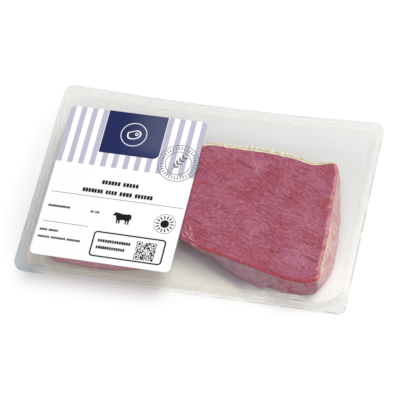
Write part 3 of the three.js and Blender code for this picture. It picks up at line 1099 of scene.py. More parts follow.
def ray_tree(name, mark, inner, outer, count, width, material):
    """Short bars standing round the middle of a mark, between two radii."""
    low, high = layer(FINE)
    tree = GeometryTree(
        name,
        {
            "Middle X": mark["x"] * MM, "Middle Y": mark["y"] * MM, "Inner": inner * MM, "Outer": outer * MM,
            "Count": count, "Width": width * MM, "Low": low, "High": high,
        },
    )
    radius = (tree["Inner"] + tree["Outer"]) * 0.5
    ring = tree.add("GeometryNodeMeshCircle", {"Vertices": tree["Count"], "Radius": radius})
    length = tree["Outer"] - tree["Inner"]
    thick = tree["High"] - tree["Low"]
    bar = tree.add("GeometryNodeMeshCube", {"Size": tree.vector(length, tree["Width"], thick)})
    step = tree.field("GeometryNodeInputIndex") * (2 * math.pi) / tree["Count"]
    bars = tree.add(
        "GeometryNodeInstanceOnPoints",
        {"Points": ring.outputs[0], "Instance": bar.outputs[0], "Rotation": tree.vector(0.0, 0.0, step)},
    )
    return centred(tree, bars, material)


def code_tree(settings, material):
    """A square of small dark modules, about half of them left out at random."""
    low, high = layer(DARK)
    side = (CODE["right"] - CODE["left"]) * MM
    tree = GeometryTree(
        "Code square",
        {
            "Side": side, "Modules": CODE["modules"], "Middle X": (CODE["left"] + CODE["right"]) / 2 * MM,
            "Middle Y": (CODE["front"] + CODE["back"]) / 2 * MM, "Low": low, "High": high,
            "Share": CODE["share"], "Seed": settings.seed,
        },
    )
    module = tree["Side"] / tree["Modules"]
    span = tree["Side"] - module
    count = tree["Modules"]
    grid = tree.add(
        "GeometryNodeMeshGrid", {"Size X": span, "Size Y": span, "Vertices X": count, "Vertices Y": count}
    )
    chance = {"Probability": tree["Share"], "Seed": tree["Seed"]}
    drawn = tree.add("FunctionNodeRandomValue", chance, data_type="BOOLEAN")
    thick = tree["High"] - tree["Low"]
    block = tree.add("GeometryNodeMeshCube", {"Size": tree.vector(module, module, thick)})
    blocks = tree.add(
        "GeometryNodeInstanceOnPoints",
        {"Points": grid.outputs[0], "Selection": drawn.outputs[3], "Instance": block.outputs[0]},
    )
    return centred(tree, blocks, material)


def add_words(form, seed):
    """Rows of bars made of plain blocks, in lengths by a seeded draw."""
    draw = random.Random(seed)
    low, high = layer(DARK)
    for left, right, y, tall, words in WORD_ROWS:
        gap = tall * BAR_GAP
        pitch = tall * BLOCK_PITCH
        half = tall * BLOCK_HALF
        shares = [draw.uniform(*BAR_SPREAD) for _ in range(words)]
        room = right - left - gap * (words - 1)
        x = left
        for share in shares:
            long = room * share / sum(shares)
            count = max(2, round(long / pitch))
            for index in range(count):
                start = x + long * index / count
                end = start + long / count * draw.uniform(*BLOCK_FILL)
                add_plate(form, rounded_outline(start, end, y - half, y + half, tall * 0.1, 2), low, high)
            x += long + gap


def code_corners():
    """The middles of three corner squares of the code square, and the side of one module."""
    side = (CODE["right"] - CODE["left"]) / CODE["modules"]
    near = CORNER_MIDDLE
    far = CODE["modules"] - near
    corners = ((near, far), (far, far), (near, near))
    return [(CODE["left"] + along * side, CODE["front"] + up * side) for along, up in corners], side


def square(x, y, half):
    """Points round a square with slightly rounded corners."""
    return rounded_outline(x - half, x + half, y - half, y + half, half * 0.04, 2)


def add_code_blanks(form):
    """White patches that keep the corner squares clear of the other modules."""
    low, high = layer(FINE)
    places, side = code_corners()
    for x, y in places:
        add_plate(form, square(x, y, side * BLANK_HALF), low, high)


def add_code_rings(form):
    """A square ring and a square in it, at three corners of the code square."""
    low, high = layer(TOPMOST)
    places, side = code_corners()
    for x, y in places:
        add_band(form, *(square(x, y, side * half) for half in RING_HALVES), low, high)
        add_plate(form, square(x, y, side * DOT_HALF), low, high)


def turned(points, angle, x, y):
    """Points turned round the origin and moved."""
    cos, sin = math.cos(angle), math.sin(angle)
    return [(x + px * cos - py * sin, y + px * sin + py * cos) for px, py in points]


def add_steer(form):
    """A plain side view of cattle, with its head to the left."""
    low, high = layer(DARK)
    unit = STEER["length"] / 10
    outline = [(STEER["x"] + x * unit, STEER["y"] + y * unit) for x, y in STEER_OUTLINE]
    add_plate(form, outline, low, high)


def add_frame_and_marks(form):
    """The rounded box frame, and the dot in the middle of the small round mark."""
    low, high = layer(DARK)
    left, right, front, back = (BOX_FRAME[side] for side in ("left", "right", "front", "back"))
    line = BOX_FRAME["line"]
    outer = rounded_outline(left, right, front, back, BOX_FRAME["radius"])
    inner = rounded_outline(
        left + line, right - line, front + line, back - line, BOX_FRAME["radius"] - line
    )
    add_band(form, outer, inner, low, high)
    x, y, radius = ROUND_MARK["x"], ROUND_MARK["y"], ROUND_MARK["radius"]
    add_plate(form, circle(x, y, radius * 0.4, 40), low, high)


def add_grey_lines(form):
    """Thin grey rules, the rings of the stamp and of the round mark, and a sprig in the stamp."""
    low, high = layer(FINE)
    for left, right, y in RULES:
        under, over = y - RULE_HALF, y + RULE_HALF
        add_plate(form, [(left, under), (right, under), (right, over), (left, over)], low, high)
    for radius in (STAMP["outer"], STAMP["inner"]):
        outer = circle(STAMP["x"], STAMP["y"], radius)
        add_band(form, outer, circle(STAMP["x"], STAMP["y"], radius - STAMP["line"]), low, high)
    outer = circle(ROUND_MARK["x"], ROUND_MARK["y"], ROUND_MARK["radius"])
    inner = circle(ROUND_MARK["x"], ROUND_MARK["y"], ROUND_MARK["radius"] - ROUND_MARK["line"])
    add_band(form, outer, inner, low, high)
    heading = SPRIG["heading"]
    reach = STAMP["inner"] * SPRIG["reach"]
    stem = [(-reach, -0.22), (reach, -0.12), (reach, 0.12), (-reach, 0.22)]
    add_plate(form, turned(stem, heading, STAMP["x"], STAMP["y"]), low, high)
    for index in range(SPRIG["pairs"]):
        along = -reach * SPRIG["first"] + index * reach * SPRIG["pitch"]
        for side in (1, -1):
            leaf = turned(LEAF, side * SPRIG["spread"], along, side * 0.3)
            add_plate(form, turned(leaf, heading, STAMP["x"], STAMP["y"]), low, high)


def add_cut_sign(form):
    """A plain roundel with the outline of a steak and its bone."""
    low, high = layer(FINE)
    x = (BADGE["left"] + BADGE["right"]) / 2
    y = (BADGE["front"] + BADGE["back"]) / 2
    add_band(form, *(circle(x, y, radius) for radius in SIGN_RING), low, high)
    outer = smooth_loop(STEAK_OUTLINE, 6)
    inner = [(px * 0.82, py * 0.8) for px, py in outer]
    add_band(form, [(x + px, y + py) for px, py in outer], [(x + px, y + py) for px, py in inner], low, high)
    x, y = x + BONE["x"], y + BONE["y"]
    add_band(form, *(circle(x, y, BONE[side], 32) for side in ("outer", "inner")), low, high)


def smooth_loop(points, steps):
    """A closed smooth loop through points, as a centripetal spline would draw it."""
    made = []
    count = len(points)
    for i in range(count):
        p0, p1, p2, p3 = (Vector(points[(i + k - 1) % count]) for k in range(4))
        knots = [0.0]
        for a, b in ((p0, p1), (p1, p2), (p2, p3)):
            knots.append(knots[-1] + max((b - a).length, 1e-9) ** 0.5)
        t0, t1, t2, t3 = knots
        for step in range(steps):
            t = t1 + (t2 - t1) * step / steps
            a1 = p0 * ((t1 - t) / (t1 - t0)) + p1 * ((t - t0) / (t1 - t0))
            a2 = p1 * ((t2 - t) / (t2 - t1)) + p2 * ((t - t1) / (t2 - t1))
            a3 = p2 * ((t3 - t) / (t3 - t2)) + p3 * ((t - t2) / (t3 - t2))
            b1 = a1 * ((t2 - t) / (t2 - t0)) + a2 * ((t - t0) / (t2 - t0))
            b2 = a2 * ((t3 - t) / (t3 - t1)) + a3 * ((t - t1) / (t3 - t1))
            made.append(tuple(b1 * ((t2 - t) / (t2 - t1)) + b2 * ((t - t1) / (t2 - t1))))
    return made


class MEATPACK_OT_print(bpy.types.Operator):
    """Print the label: stripes, badge, stamp, rules, word bars, sign, frame and code square"""

    bl_idname = "meatpack.print"
    bl_label = "Print"

    def execute(self, context):
        settings = context.scene.meatpack_label
        lilac = ink_material("Stripe ink", settings.stripe)
        # The dark field lightens to the right: a painted sheen.
        navy = ink_material("Badge ink", settings.badge, 0.3, (settings.badge_sheen, (-68, -38), (20, 34)))
        black = ink_material("Dark ink", settings.ink)
        grey = ink_material("Grey ink", settings.soft_ink)
        white = ink_material("White ink", settings.paper)
        inked(stripe_tree(lilac).run("print_stripes"))

        def add_badge(form):
            low, high = layer(DARK)
            sides = (BADGE[side] for side in ("left", "right", "front", "back"))
            add_plate(form, rounded_outline(*sides, (4.2, 0.6, 0.6, 0.6)), low, high)

        printed("print_badge", add_badge, navy)
        printed("print_cut_sign", add_cut_sign, white)
        printed("print_words", lambda form: add_words(form, settings.seed), black)
        printed("print_steer", add_steer, black)
        printed("print_frame", add_frame_and_marks, black)
        printed("print_lines", add_grey_lines, grey)
        inner, outer = STAMP["inner"] + 1.3, STAMP["outer"] - 1.5
        stamp = ray_tree("Stamp ticks", STAMP, inner, outer, count=36, width=0.6, material=grey)
        inked(stamp.run("print_stamp_ticks"))
        inner, outer = (ROUND_MARK["radius"] * share for share in (0.52, 0.84))
        rays = ray_tree("Mark rays", ROUND_MARK, inner, outer, count=14, width=0.9, material=black)
        inked(rays.run("print_mark_rays"))
        inked(code_tree(settings, black).run("print_code"))
        printed("print_code_blanks", add_code_blanks, white)
        printed("print_code_rings", add_code_rings, black)
        return {"FINISHED"}


def spaced(outline, count):
    """Points at even steps round the smooth loop through an outline of (x, y, flare)."""
    fine = [Vector(point) for point in smooth_loop(outline, 24)]
    lengths = [0.0]
    for a, b in zip(fine, fine[1:] + fine[:1]):
        lengths.append(lengths[-1] + (b - a).length)
    total = lengths[-1]
    fine.append(fine[0])
    points = []
    index = 0
    for step in range(count):
        goal = total * step / count
        while lengths[index + 1] < goal:
            index += 1
        share = (goal - lengths[index]) / (lengths[index + 1] - lengths[index])
        points.append(fine[index].lerp(fine[index + 1], share))
    return points


def face_wave(x, y):
    """How far the cut face swells at a place, in millimetres."""
    total = 0.0
    for height, length, heading in FACE_WAVES:
        turn = math.radians(heading)
        total += height * math.sin(2 * math.pi * (x * math.cos(turn) + y * math.sin(turn)) / length)
    return total


def side_value(height, column):
    """Flare or inset at a height share, eased between the profile's rows."""
    for lower, upper in zip(SIDE_PROFILE, SIDE_PROFILE[1:]):
        if height <= upper[0]:
            share = (height - lower[0]) / (upper[0] - lower[0])
            return lower[column] + (upper[column] - lower[column]) * share
    return SIDE_PROFILE[-1][column]


class Cut:
    """A cut of meat as rules, in millimetres: its cut face, and its sides round its outline."""

    def __init__(self, outline, low, high, count):
        self.samples = spaced(outline, count)
        self.count = count
        self.middle = sum(self.samples, Vector((0, 0, 0))) / count
        self.foot = low / MM
        self.tall = high / MM - self.foot - sum(wave[0] for wave in FACE_WAVES)

    def face_height(self, x, y):
        """Height of the cut face at a place."""
        return self.foot + self.tall + face_wave(x, y)

    def heading(self, index):
        """The way that the outline runs at one of its points."""
        after = self.samples[(index + 1) % self.count]
        return (after - self.samples[(index - 1) % self.count]).to_2d().normalized()

    def side(self, index, height, lift=0.0):
        """The point of the side at a place round the outline and a share of the height, lifted off
        a little, and the way that it faces."""
        base = math.floor(index)
        share = index - base
        base %= self.count
        point = self.samples[base].lerp(self.samples[(base + 1) % self.count], share)
        along = self.heading(base).lerp(self.heading(base + 1), share).normalized()
        depth, folds = SIDE_FOLDS
        fold = depth * math.sin(2 * math.pi * folds * index / self.count) * math.sin(math.pi * height)
        out = point.z * side_value(height, 1) - side_value(height, 2) + fold + lift
        x = point.x + along.y * out
        y = point.y - along.x * out
        z = self.foot + height * (self.face_height(x, y) - self.foot)
        return Vector((x, y, z)), Vector((along.y, -along.x))

    def front_index(self, x):
        """The place on the front side of the outline that has this x."""
        for index in range(self.count // 2):
            before, after = self.samples[index].x, self.samples[index + 1].x
            if before <= x < after:
                return index + (x - before) / (after - before)
        raise ValueError(f"The front side doesn't reach {x}")

    def nearest(self, x, y):
        """The place on the outline that is nearest to a point."""
        goal = Vector((x, y))
        return min(range(self.count), key=lambda index: (self.samples[index].to_2d() - goal).length)

    def along_side(self, start, end, height, lift, weight, steps=24):
        """A path on the side between two places round the outline, with its weight at each point."""
        places = (start + (end - start) * step / steps for step in range(steps + 1))
        return [(*self.side(place, height, lift)[0], weight) for place in places]

    def on_face(self, path, lift, weight):
        """A path on the cut face, lifted off a little, with one weight."""
        return [(x, y, self.face_height(x, y) + lift, weight) for x, y in path]


def redness(x, y, zones):
    """How red a place of the face is, from the zones that it lies in."""
    total = 0.0
    for zone_x, zone_y, radius, strength in zones:
        near = max(0.0, 1 - math.hypot(x - zone_x, y - zone_y) / radius)
        total += strength * near * near * (3 - 2 * near)
    return total


def fillet_mesh(name, cut, zones):
    """The body of a cut of meat in fine rings. Its attributes say how far a point is down the side,
    how near it is to the face's edge, how much that edge faces the back or the right, and how red
    the face is there."""
    form = bmesh.new()
    layers = [form.verts.layers.float.new(label) for label in CUT_FIELDS]

    def add(place, facing, side, rim):
        vert = form.verts.new(place * MM)
        values = (side, rim, max(0.0, facing.y), max(0.0, facing.x), redness(place.x, place.y, zones))
        for layer_key, value in zip(layers, values):
            vert[layer_key] = value
        return vert

    rings = []
    middle = (0.06 + 0.86 * step / SIDE_STEPS for step in range(SIDE_STEPS))
    heights = [0, 0.02, *middle, 0.94, 0.96, 0.975, 0.99, 1]
    for height in heights:
        places = [cut.side(index, height) for index in range(cut.count)]
        rings.append([add(place, facing, min(1.0, (1 - height) * 6), 1.0) for place, facing in places])
    for step in range(1, FACE_STEPS):
        share = 0.97 * (1 - step / FACE_STEPS) + 0.004
        row = []
        for index, point in enumerate(cut.samples):
            x, y = (cut.middle + (point - cut.middle) * share).to_2d()
            along = cut.heading(index)
            rim = max(0.0, 1 - (1 - share) * RIM_REACH)
            row.append(add(Vector((x, y, cut.face_height(x, y))), Vector((along.y, -along.x)), 0.0, rim))
        rings.append(row)
    sleeve(form, rings)
    return meshed(name, form)


def skin_mesh(name, cut):
    """The silver skin as a thin closed sheet over the front side. Its right edge slants, and it
    stands off a little towards its lower right tip."""
    form = bmesh.new()
    facing_layers = [form.verts.layers.float.new(label) for label in ("facing x", "facing y")]
    sheets = []
    for thick in (0.0, SKIN_THICK):
        rows = []
        for row in range(SKIN_ROWS + 1):
            up = row / SKIN_ROWS
            start = cut.front_index(SKIN["from"])
            end = cut.front_index(SKIN["foot"] + (SKIN["top"] - SKIN["foot"]) * up)
            line = []
            for column in range(SKIN_COLUMNS + 1):
                across = column / SKIN_COLUMNS
                lift = SKIN_GAP + thick + SKIN_TIP * across**6 * (1 - up * 0.7)
                place, facing = cut.side(start + (end - start) * across, 0.02 + 0.93 * up, lift)
                vert = form.verts.new(place * MM)
                vert[facing_layers[0]], vert[facing_layers[1]] = facing
                line.append(vert)
            rows.append(line)
        sheets.append(rows)
    inner, outer = sheets
    for row in range(SKIN_ROWS):
        for column in range(SKIN_COLUMNS):
            for sheet, order in ((inner, -1), (outer, 1)):
                here, above = sheet[row], sheet[row + 1]
                corners = (here[column], here[column + 1], above[column + 1], above[column])
                form.faces.new(corners[::order])
    edge = [(0, column) for column in range(SKIN_COLUMNS)]
    edge += [(row, SKIN_COLUMNS) for row in range(SKIN_ROWS)]
    edge += [(SKIN_ROWS, column) for column in range(SKIN_COLUMNS, 0, -1)]
    edge += [(row, 0) for row in range(SKIN_ROWS, 0, -1)]
    bridge(form, *([sheet[row][column] for row, column in edge] for sheet in sheets))
    return meshed(name, form)


def ripple_tree(material):
    """Ripples a thin sheet out of its own plane, both faces alike."""
    tree = GeometryTree("Skin ripples", {"Depth": 0.5 * MM, "Fineness": 150.0, "Stretch": 0.45})
    place = tree.add("GeometryNodeInputPosition").outputs[0]
    stretched = tree.multiplied(place, tree.vector(1.0, 1.0, tree["Stretch"]))
    ripple = tree.noise(stretched, tree["Fineness"], 2.0, 0.5, 0.8).ramp(0.3, 0.75) * tree["Depth"]
    offset = tree.vector(tree.attribute("facing x") * ripple, tree.attribute("facing y") * ripple, 0.0)
    moved = tree.add("GeometryNodeSetPosition", {"Geometry": tree.geometry, "Offset": offset})
    tree.finish(moved.outputs[0], material)
    return tree


def path_mesh(name, paths):
    """Open polylines through points of x, y, z in millimetres and a weight."""
    points, edges, weights = [], [], []
    for path in paths:
        edges += [(len(points) + k, len(points) + k + 1) for k in range(len(path) - 1)]
        points += [(x * MM, y * MM, z * MM) for x, y, z, _ in path]
        weights += [point[3] for point in path]
    mesh = bpy.data.meshes.new(name)
    mesh.from_pydata(points, edges, [])
    mesh.attributes.new("weight", "FLOAT", "POINT").data.foreach_set("value", weights)
    return mesh


def thread_tree(name, radius, material, sway=0.3 * MM, uneven=0.8):
    """Makes thin threads of uneven thickness along paths, tapering to their ends."""
    tree = GeometryTree(name, {"Radius": radius, "Step": 0.4 * MM, "Sway": sway, "Unevenness": uneven})
    curve = tree.add("GeometryNodeMeshToCurve", {"Mesh": tree.geometry})
    curve = tree.add("GeometryNodeCurveSplineType", {"Curve": curve.outputs[0]}, spline_type="CATMULL_ROM")
    curve = tree.add("GeometryNodeResampleCurve", {"Curve": curve.outputs[0]}, mode="LENGTH")
    tree.feed(curve.inputs["Length"], tree["Step"])
    place = tree.add("GeometryNodeInputPosition").outputs[0]
    unrest = tree.field("ShaderNodeTexNoise", {"Vector": place, "Scale": 420.0, "Detail": 2.0}, 1)
    unrest = tree.field("ShaderNodeVectorMath", {0: unrest, 1: (0.5, 0.5, 0.5)}, operation="SUBTRACT")
    offset = tree.scaled(unrest, tree["Sway"] * 2)
    moved = tree.add("GeometryNodeSetPosition", {"Geometry": curve.outputs[0], "Offset": offset})
    factor = tree.field("GeometryNodeSplineParameter", None, "Factor")
    taper = (factor * (1 - factor) * 4.0).math("POWER", 0.35) + 0.04
    uneven = 1 - tree.noise(place, 520.0, 2.0).ramp(0.3, 0.7) * tree["Unevenness"]
    section = tree.add(
        "GeometryNodeCurvePrimitiveCircle", {"Resolution": 6, "Radius": tree["Radius"]}, mode="RADIUS"
    )
    thread = tree.add(
        "GeometryNodeCurveToMesh",
        {
            "Curve": moved.outputs[0], "Profile Curve": section.outputs[0],
            "Scale": taper * uneven * tree.attribute("weight"), "Fill Caps": True,
        },
    )
    tree.finish(thread.outputs[0], material)
    return tree


def relief_tree(settings, material):
    """Pushes the meat's surface in and out by grain, lumps and creases."""
    tree = GeometryTree(
        "Meat relief", {"Grain angle": settings.grain_angle, "Relief": settings.relief, "Lumps": 0.25 * MM}
    )
    turned_place = tree.add(
        "ShaderNodeVectorRotate",
        {"Vector": tree.add("GeometryNodeInputPosition").outputs[0], "Angle": tree["Grain angle"] * -1},
        rotation_type="Z_AXIS",
    )
    stretched = tree.multiplied(turned_place.outputs[0], (0.22, 1.0, 1.0))
    grain = tree.noise(stretched, 420.0, 3.0, 0.55, 0.5) - 0.5
    crease = (tree.noise(stretched, 170.0, 2.0, 0.5, 1.2) - 0.5).math("ABSOLUTE").ramp(0.0, 0.035)
    lump = tree.noise(turned_place.outputs[0], 75.0, 2.0) - 0.5
    push = grain * tree["Relief"] + (crease - 1) * tree["Relief"] * 0.9 + lump * tree["Lumps"]
    offset = tree.scaled(tree.add("GeometryNodeInputNormal").outputs[0], push)
    moved = tree.add("GeometryNodeSetPosition", {"Geometry": tree.geometry, "Offset": offset})
    tree.finish(moved.outputs[0], material)
    return tree


def fleck_tree(settings, material, seed):
    """Pale slivers of sinew lying on the cut face, mostly along the grain."""
    tree = GeometryTree(
        "Pale flecks",
        {
            "Density": settings.flecks / FACE_AREA, "Seed": seed, "Grain angle": settings.grain_angle,
            "Length": 2.2 * MM, "Thickness": 0.09 * MM,
        },
    )
    face = (1 - tree.attribute("side")).above(0.999)
    points = tree.add(
        "GeometryNodeDistributePointsOnFaces",
        {"Mesh": tree.geometry, "Selection": face, "Density": tree["Density"], "Seed": tree["Seed"]},
    )
    arc = tree.add(
        "GeometryNodeCurvePrimitiveBezierSegment",
        {
            "Resolution": 7,
            "Start": (-0.5, 0.0, 0.0), "Start Handle": (-0.2, 0.28, 0.0),
            "End Handle": (0.2, -0.16, 0.0), "End": (0.5, 0.0, 0.0),
        },
    )
    taper = tree.field("GeometryNodeSplineParameter", None, "Factor")
    taper = (taper * (1 - taper) * 4.0).math("POWER", 0.6) + 0.05
    section = tree.add("GeometryNodeCurvePrimitiveCircle", {"Resolution": 6, "Radius": 1.0}, mode="RADIUS")
    section = tree.add(
        "GeometryNodeTransform",
        {"Geometry": section.outputs[0], "Scale": (0.05, 0.05, 0.05)},
    )
    sliver = tree.add(
        "GeometryNodeCurveToMesh",
        {"Curve": arc.outputs[0], "Profile Curve": section.outputs[0], "Scale": taper, "Fill Caps": True},
    )
    length = tree.field(
        "FunctionNodeRandomValue", {"Min": 0.35, "Max": 1.6, "Seed": 3}, 1, data_type="FLOAT"
    )
    sway = tree.field(
        "FunctionNodeRandomValue", {"Min": -1.1, "Max": 1.1, "Seed": 5}, 1, data_type="FLOAT"
    )
    scale = tree.vector(
        tree["Length"] * length, tree["Length"] * length, tree["Thickness"] * 18.0
    )
    placed = tree.add(
        "GeometryNodeInstanceOnPoints",
        {
            "Points": points.outputs[0], "Instance": sliver.outputs[0], "Scale": scale,
            "Rotation": tree.vector(0.0, 0.0, sway + tree["Grain angle"]),
        },
    )
    tree.finish(placed.outputs[0], material)
    return tree


def beef_material(name, settings, skinned):
    """Raw beef: mauve and red zones, stretched grain, dark streaks, its edges, a cream rim at the
    back and paler sides. skinned says how much of the sides is under skin."""
    material, nodes, place = new_material(name)
    turned_place = nodes.add(
        "ShaderNodeVectorRotate", {"Vector": place, "Angle": -settings.grain_angle}, rotation_type="Z_AXIS"
    ).outputs[0]

    def stretched(share):
        return nodes.multiplied(turned_place, (share, 1.0, 1.0))

    fibres = nodes.noise(stretched(0.5), 700.0, 4.0, 0.65, 0.6)
    streaks = nodes.noise(stretched(0.13), 640.0, 2.0, 0.5, 0.3)
    broad = nodes.noise(stretched(0.4), 150.0, 4.0, 0.6, 1.0)
    patch = nodes.noise(place, 52.0, 4.0, 0.55, 0.6)
    cluster = nodes.noise(place, 80.0, 2.0)
    speck = nodes.noise(place, 1500.0, 2.0, 0.6)
    side, rim, back, right, red = (
        nodes.field("ShaderNodeAttribute", None, "Fac", attribute_name=label) for label in CUT_FIELDS
    )
    pale, deep, cream = coloured(settings.pale), coloured(settings.deep), coloured(settings.cream)

    # The face: blood and mauve in zones, then fibres, streaks and specks.
    blood = (patch.ramp(0.34, 0.68) * 0.6 + red * 1.0 + (broad - 0.5) * 2.0).ramp(-0.05, 0.85)
    mauve = nodes.mixed((red * -1).ramp(0.1, 0.9) * 0.6, coloured(settings.mauve), coloured(settings.bloom))
    colour = nodes.mixed(blood, mauve, coloured(settings.lean))
    colour = nodes.mixed(fibres.ramp(0.48, 0.7) * 0.5, colour, pale)
    colour = nodes.mixed(fibres.ramp(0.5, 0.33) * 0.6, colour, deep)
    colour = nodes.mixed(streaks.ramp(0.55, 0.64) * cluster.ramp(0.38, 0.6) * 0.9, colour, deep)
    colour = nodes.mixed(speck.ramp(0.62, 0.72) * 0.6, colour, coloured(settings.fat))
    colour = nodes.mixed(speck.ramp(0.4, 0.3) * 0.4, colour, deep)

    # The sides: bare flesh, or skin by its share, and paler where they face right.
    upright = nodes.multiplied(place, (1.0, 1.0, 0.25))
    folds = nodes.noise(upright, 130.0, 3.0, 0.55, 0.5)
    mottle = nodes.noise(place, 230.0, 4.0, 0.6, 0.8)
    bare = nodes.mixed(mottle.ramp(0.42, 0.62) * 0.85, coloured(settings.flesh), deep)
    bare = nodes.mixed(fibres.ramp(0.5, 0.7) * 0.6, bare, pale)
    skin = nodes.mixed(broad.ramp(0.35, 0.7) * 0.5, coloured(settings.skin), pale)
    bare = nodes.mixed(skinned, bare, skin)
    pale_side = nodes.mixed(folds.ramp(0.44, 0.7) * 0.65, coloured(settings.blush), pale)
    bare = nodes.mixed(right.ramp(0.35, 0.85) * 0.9, bare, pale_side)
    colour = nodes.mixed(side.ramp(0.25, 0.9), colour, bare)

    # The face's edge: wet red in front, ragged on the right, and cream fat at the back, which also
    # caps the upper part of the back side.
    torn = nodes.noise(place, 260.0, 3.0).ramp(0.35, 0.65)
    rightward = right.ramp(0.3, 0.8)
    forward = (1 - rightward) * (1 - back.ramp(0.2, 0.6)) * (1 - side.ramp(0.1, 0.9))
    colour = nodes.mixed(rim.ramp(0.7, 1.0) * forward * (torn * 0.5 + 0.2), colour, coloured(settings.edge))
    ragged = (rim + (torn - 0.5) * 0.6).ramp(0.55, 1.15) * rightward
    colour = nodes.mixed(ragged * 0.7, colour, coloured(settings.ragged))
    fringe = (rim + torn * 0.2).ramp(0.75, 1.1) * (1 - side.ramp(0.1, 0.9)) * back.ramp(0.6, 0.95)
    colour = nodes.mixed(fringe * 0.9, colour, cream)
    level = nodes.parts(place)[2] + torn * 2.5 * MM
    cap = level.over(15.5, 18) * side.ramp(0.1, 0.5) * back.ramp(0.5, 0.9)
    colour = nodes.mixed(cap * 0.85, colour, cream)
    grain = fibres + speck * 0.5
    bump = nodes.add("ShaderNodeBump", {"Strength": 0.6, "Distance": 0.12 * MM, "Height": grain})
    shader = nodes.add(
        "ShaderNodeBsdfPrincipled",
        {
            "Base Color": colour,
            "Roughness": (fibres * 0.25) + 0.3,
            "Specular IOR Level": 0.4,
            "Subsurface Weight": 0.1,
            "Subsurface Radius": (0.003, 0.001, 0.0008),
            "Subsurface Scale": 1.0,
            "Normal": bump.outputs[0],
        },
    )
    nodes.surface(shader)
    return material


def mottled_material(name, colour, other, roughness=0.3):
    """Sinew, fat or a wet edge: two colours in a fine mottle."""
    material, nodes, place = new_material(name)
    mottle = nodes.noise(place, 700.0, 3.0)
    shader = nodes.add(
        "ShaderNodeBsdfPrincipled",
        {
            "Base Color": nodes.mixed(mottle.ramp(0.3, 0.7), coloured(colour), coloured(other)),
            "Roughness": (mottle * 0.2) + roughness,
        },
    )
    nodes.surface(shader)
    return material


def skin_material(settings):
    """Silver skin: a lilac veil with fine wrinkles that lets the flesh show through."""
    material, nodes, place = new_material("Silver skin")
    upright = nodes.multiplied(place, (1.0, 1.0, 0.35))
    wrinkle = nodes.noise(upright, 520.0, 4.0, 0.6, 0.8)
    cloud = nodes.noise(place, 140.0, 3.0)
    colour = nodes.mixed(wrinkle.ramp(0.5, 0.75) * 0.5, coloured(settings.skin), coloured(settings.blush))
    bump = nodes.add("ShaderNodeBump", {"Strength": 0.5, "Distance": 0.15 * MM, "Height": wrinkle})
    veil = nodes.add(
        "ShaderNodeBsdfPrincipled",
        {
            "Base Color": colour,
            "Roughness": (wrinkle * 0.2) + 0.22,
            "Normal": bump.outputs[0],
        },
    )
    nodes.cover(cloud.ramp(0.3, 0.7) * 0.2 + 0.45, (0.92, 0.84, 0.86, 1.0), veil)
    return material


class MEATPACK_OT_fillets(bpy.types.Operator):
    """Cut the two beef fillets with their grain, creases, pale flecks, sinews and silver skin"""

    bl_idname = "meatpack.fillets"
    bl_label = "Fillets"

    def execute(self, context):
        settings = context.scene.meatpack_beef
        sinew = mottled_material("Sinew", settings.fat, settings.pale)
        cream = mottled_material("Cream fat", settings.cream, (0.68, 0.55, 0.42))
        streak = mottled_material("Dark streak", settings.deep, settings.lean)
        wet = mottled_material("Wet edge", settings.edge, settings.deep, 0.3)
        cuts = {}
        for hand, outline, count, zones, skinned in FILLETS:
            low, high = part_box(f"filet_{hand}")
            cut = Cut(outline, low.z, high.z, count)
            beef = beef_material(f"Beef {hand}", settings, skinned)
            body = fillet_mesh(f"beef_{hand}", cut, zones)
            fillet = relief_tree(settings, beef).run(f"beef_{hand}", body)
            delivered(fillet, "beef", f"filet_{hand}")
            seed = settings.seed + len(cuts)
            flecks = fleck_tree(settings, sinew, seed).run(f"flecks_{hand}", fillet.data.copy())
            delivered(flecks, "beef")
            cuts[hand] = cut

        right = cuts["right"]
        skin = ripple_tree(skin_material(settings)).run("silver_skin", skin_mesh("silver_skin", right))
        delivered(skin, "beef")
        skin.visible_shadow = False

        def threads(name, radius, material, paths, sway=0.3 * MM, uneven=0.8):
            tree = thread_tree(name.replace("_", " "), radius, material, sway, uneven)
            delivered(tree.run(name, path_mesh(name, paths)), "beef")

        def front(cut, left_x, right_x, height, weight):
            return cut.along_side(cut.front_index(left_x), cut.front_index(right_x), height, 0.1, weight)

        threads("sinews_right", 0.24 * MM, sinew, [
            *(right.on_face(path, lift=0.16, weight=1.2) for path in SINEWS),
            *(right.on_face(path, lift=0.12, weight=1.4) for path in TORN),
            front(right, -8, 22, height=0.93, weight=2.4),
        ])
        threads("streaks_right", 0.26 * MM, streak, [
            *(right.on_face(path, lift=0.1, weight=1.0) for path in STREAKS),
            # Painted shade: a dark thread under the front right edge, as the shadow line between the face and
            # the front side.
            front(right, 68, 91, height=0.93, weight=2.8),
        ])
        threads("wet_edge_right", 0.75 * MM, wet, [
            front(right, x, end, height=0.965, weight=weight) for x, end, weight in WET_EDGE
        ], sway=0.1 * MM, uneven=0.35)
        seam_start, seam_end, back_start, back_end = (right.nearest(x, y) for x, y in SEAM + BACK_FAT)
        threads("cream_right", 0.5 * MM, cream, [
            right.along_side(seam_start, seam_end, height=0.9, lift=0.1, weight=1.3),
            right.along_side(seam_start, seam_end, height=0.8, lift=0, weight=1.0),
            right.along_side(back_start, back_end, height=0.88, lift=1.2, weight=4.0, steps=60),
        ], sway=0.7 * MM)
        left = cuts["left"]
        threads("fat_left", 0.5 * MM, sinew, [front(left, *run) for run in LEFT_FAT])
        return {"FINISHED"}


def look_from(elevation, azimuth, roll):
    """The camera's turn, from its height angle, its heading from the front and its roll."""
    level = math.cos(elevation)
    away = Vector((math.sin(azimuth) * level, -math.cos(azimuth) * level, math.sin(elevation)))
    right = Vector((math.cos(azimuth), math.sin(azimuth), 0))
    up = away.cross(right)
    turned_right = right * math.cos(roll) + up * math.sin(roll)
    turned_up = up * math.cos(roll) - right * math.sin(roll)
    return Matrix((turned_right, turned_up, away)).transposed(), away


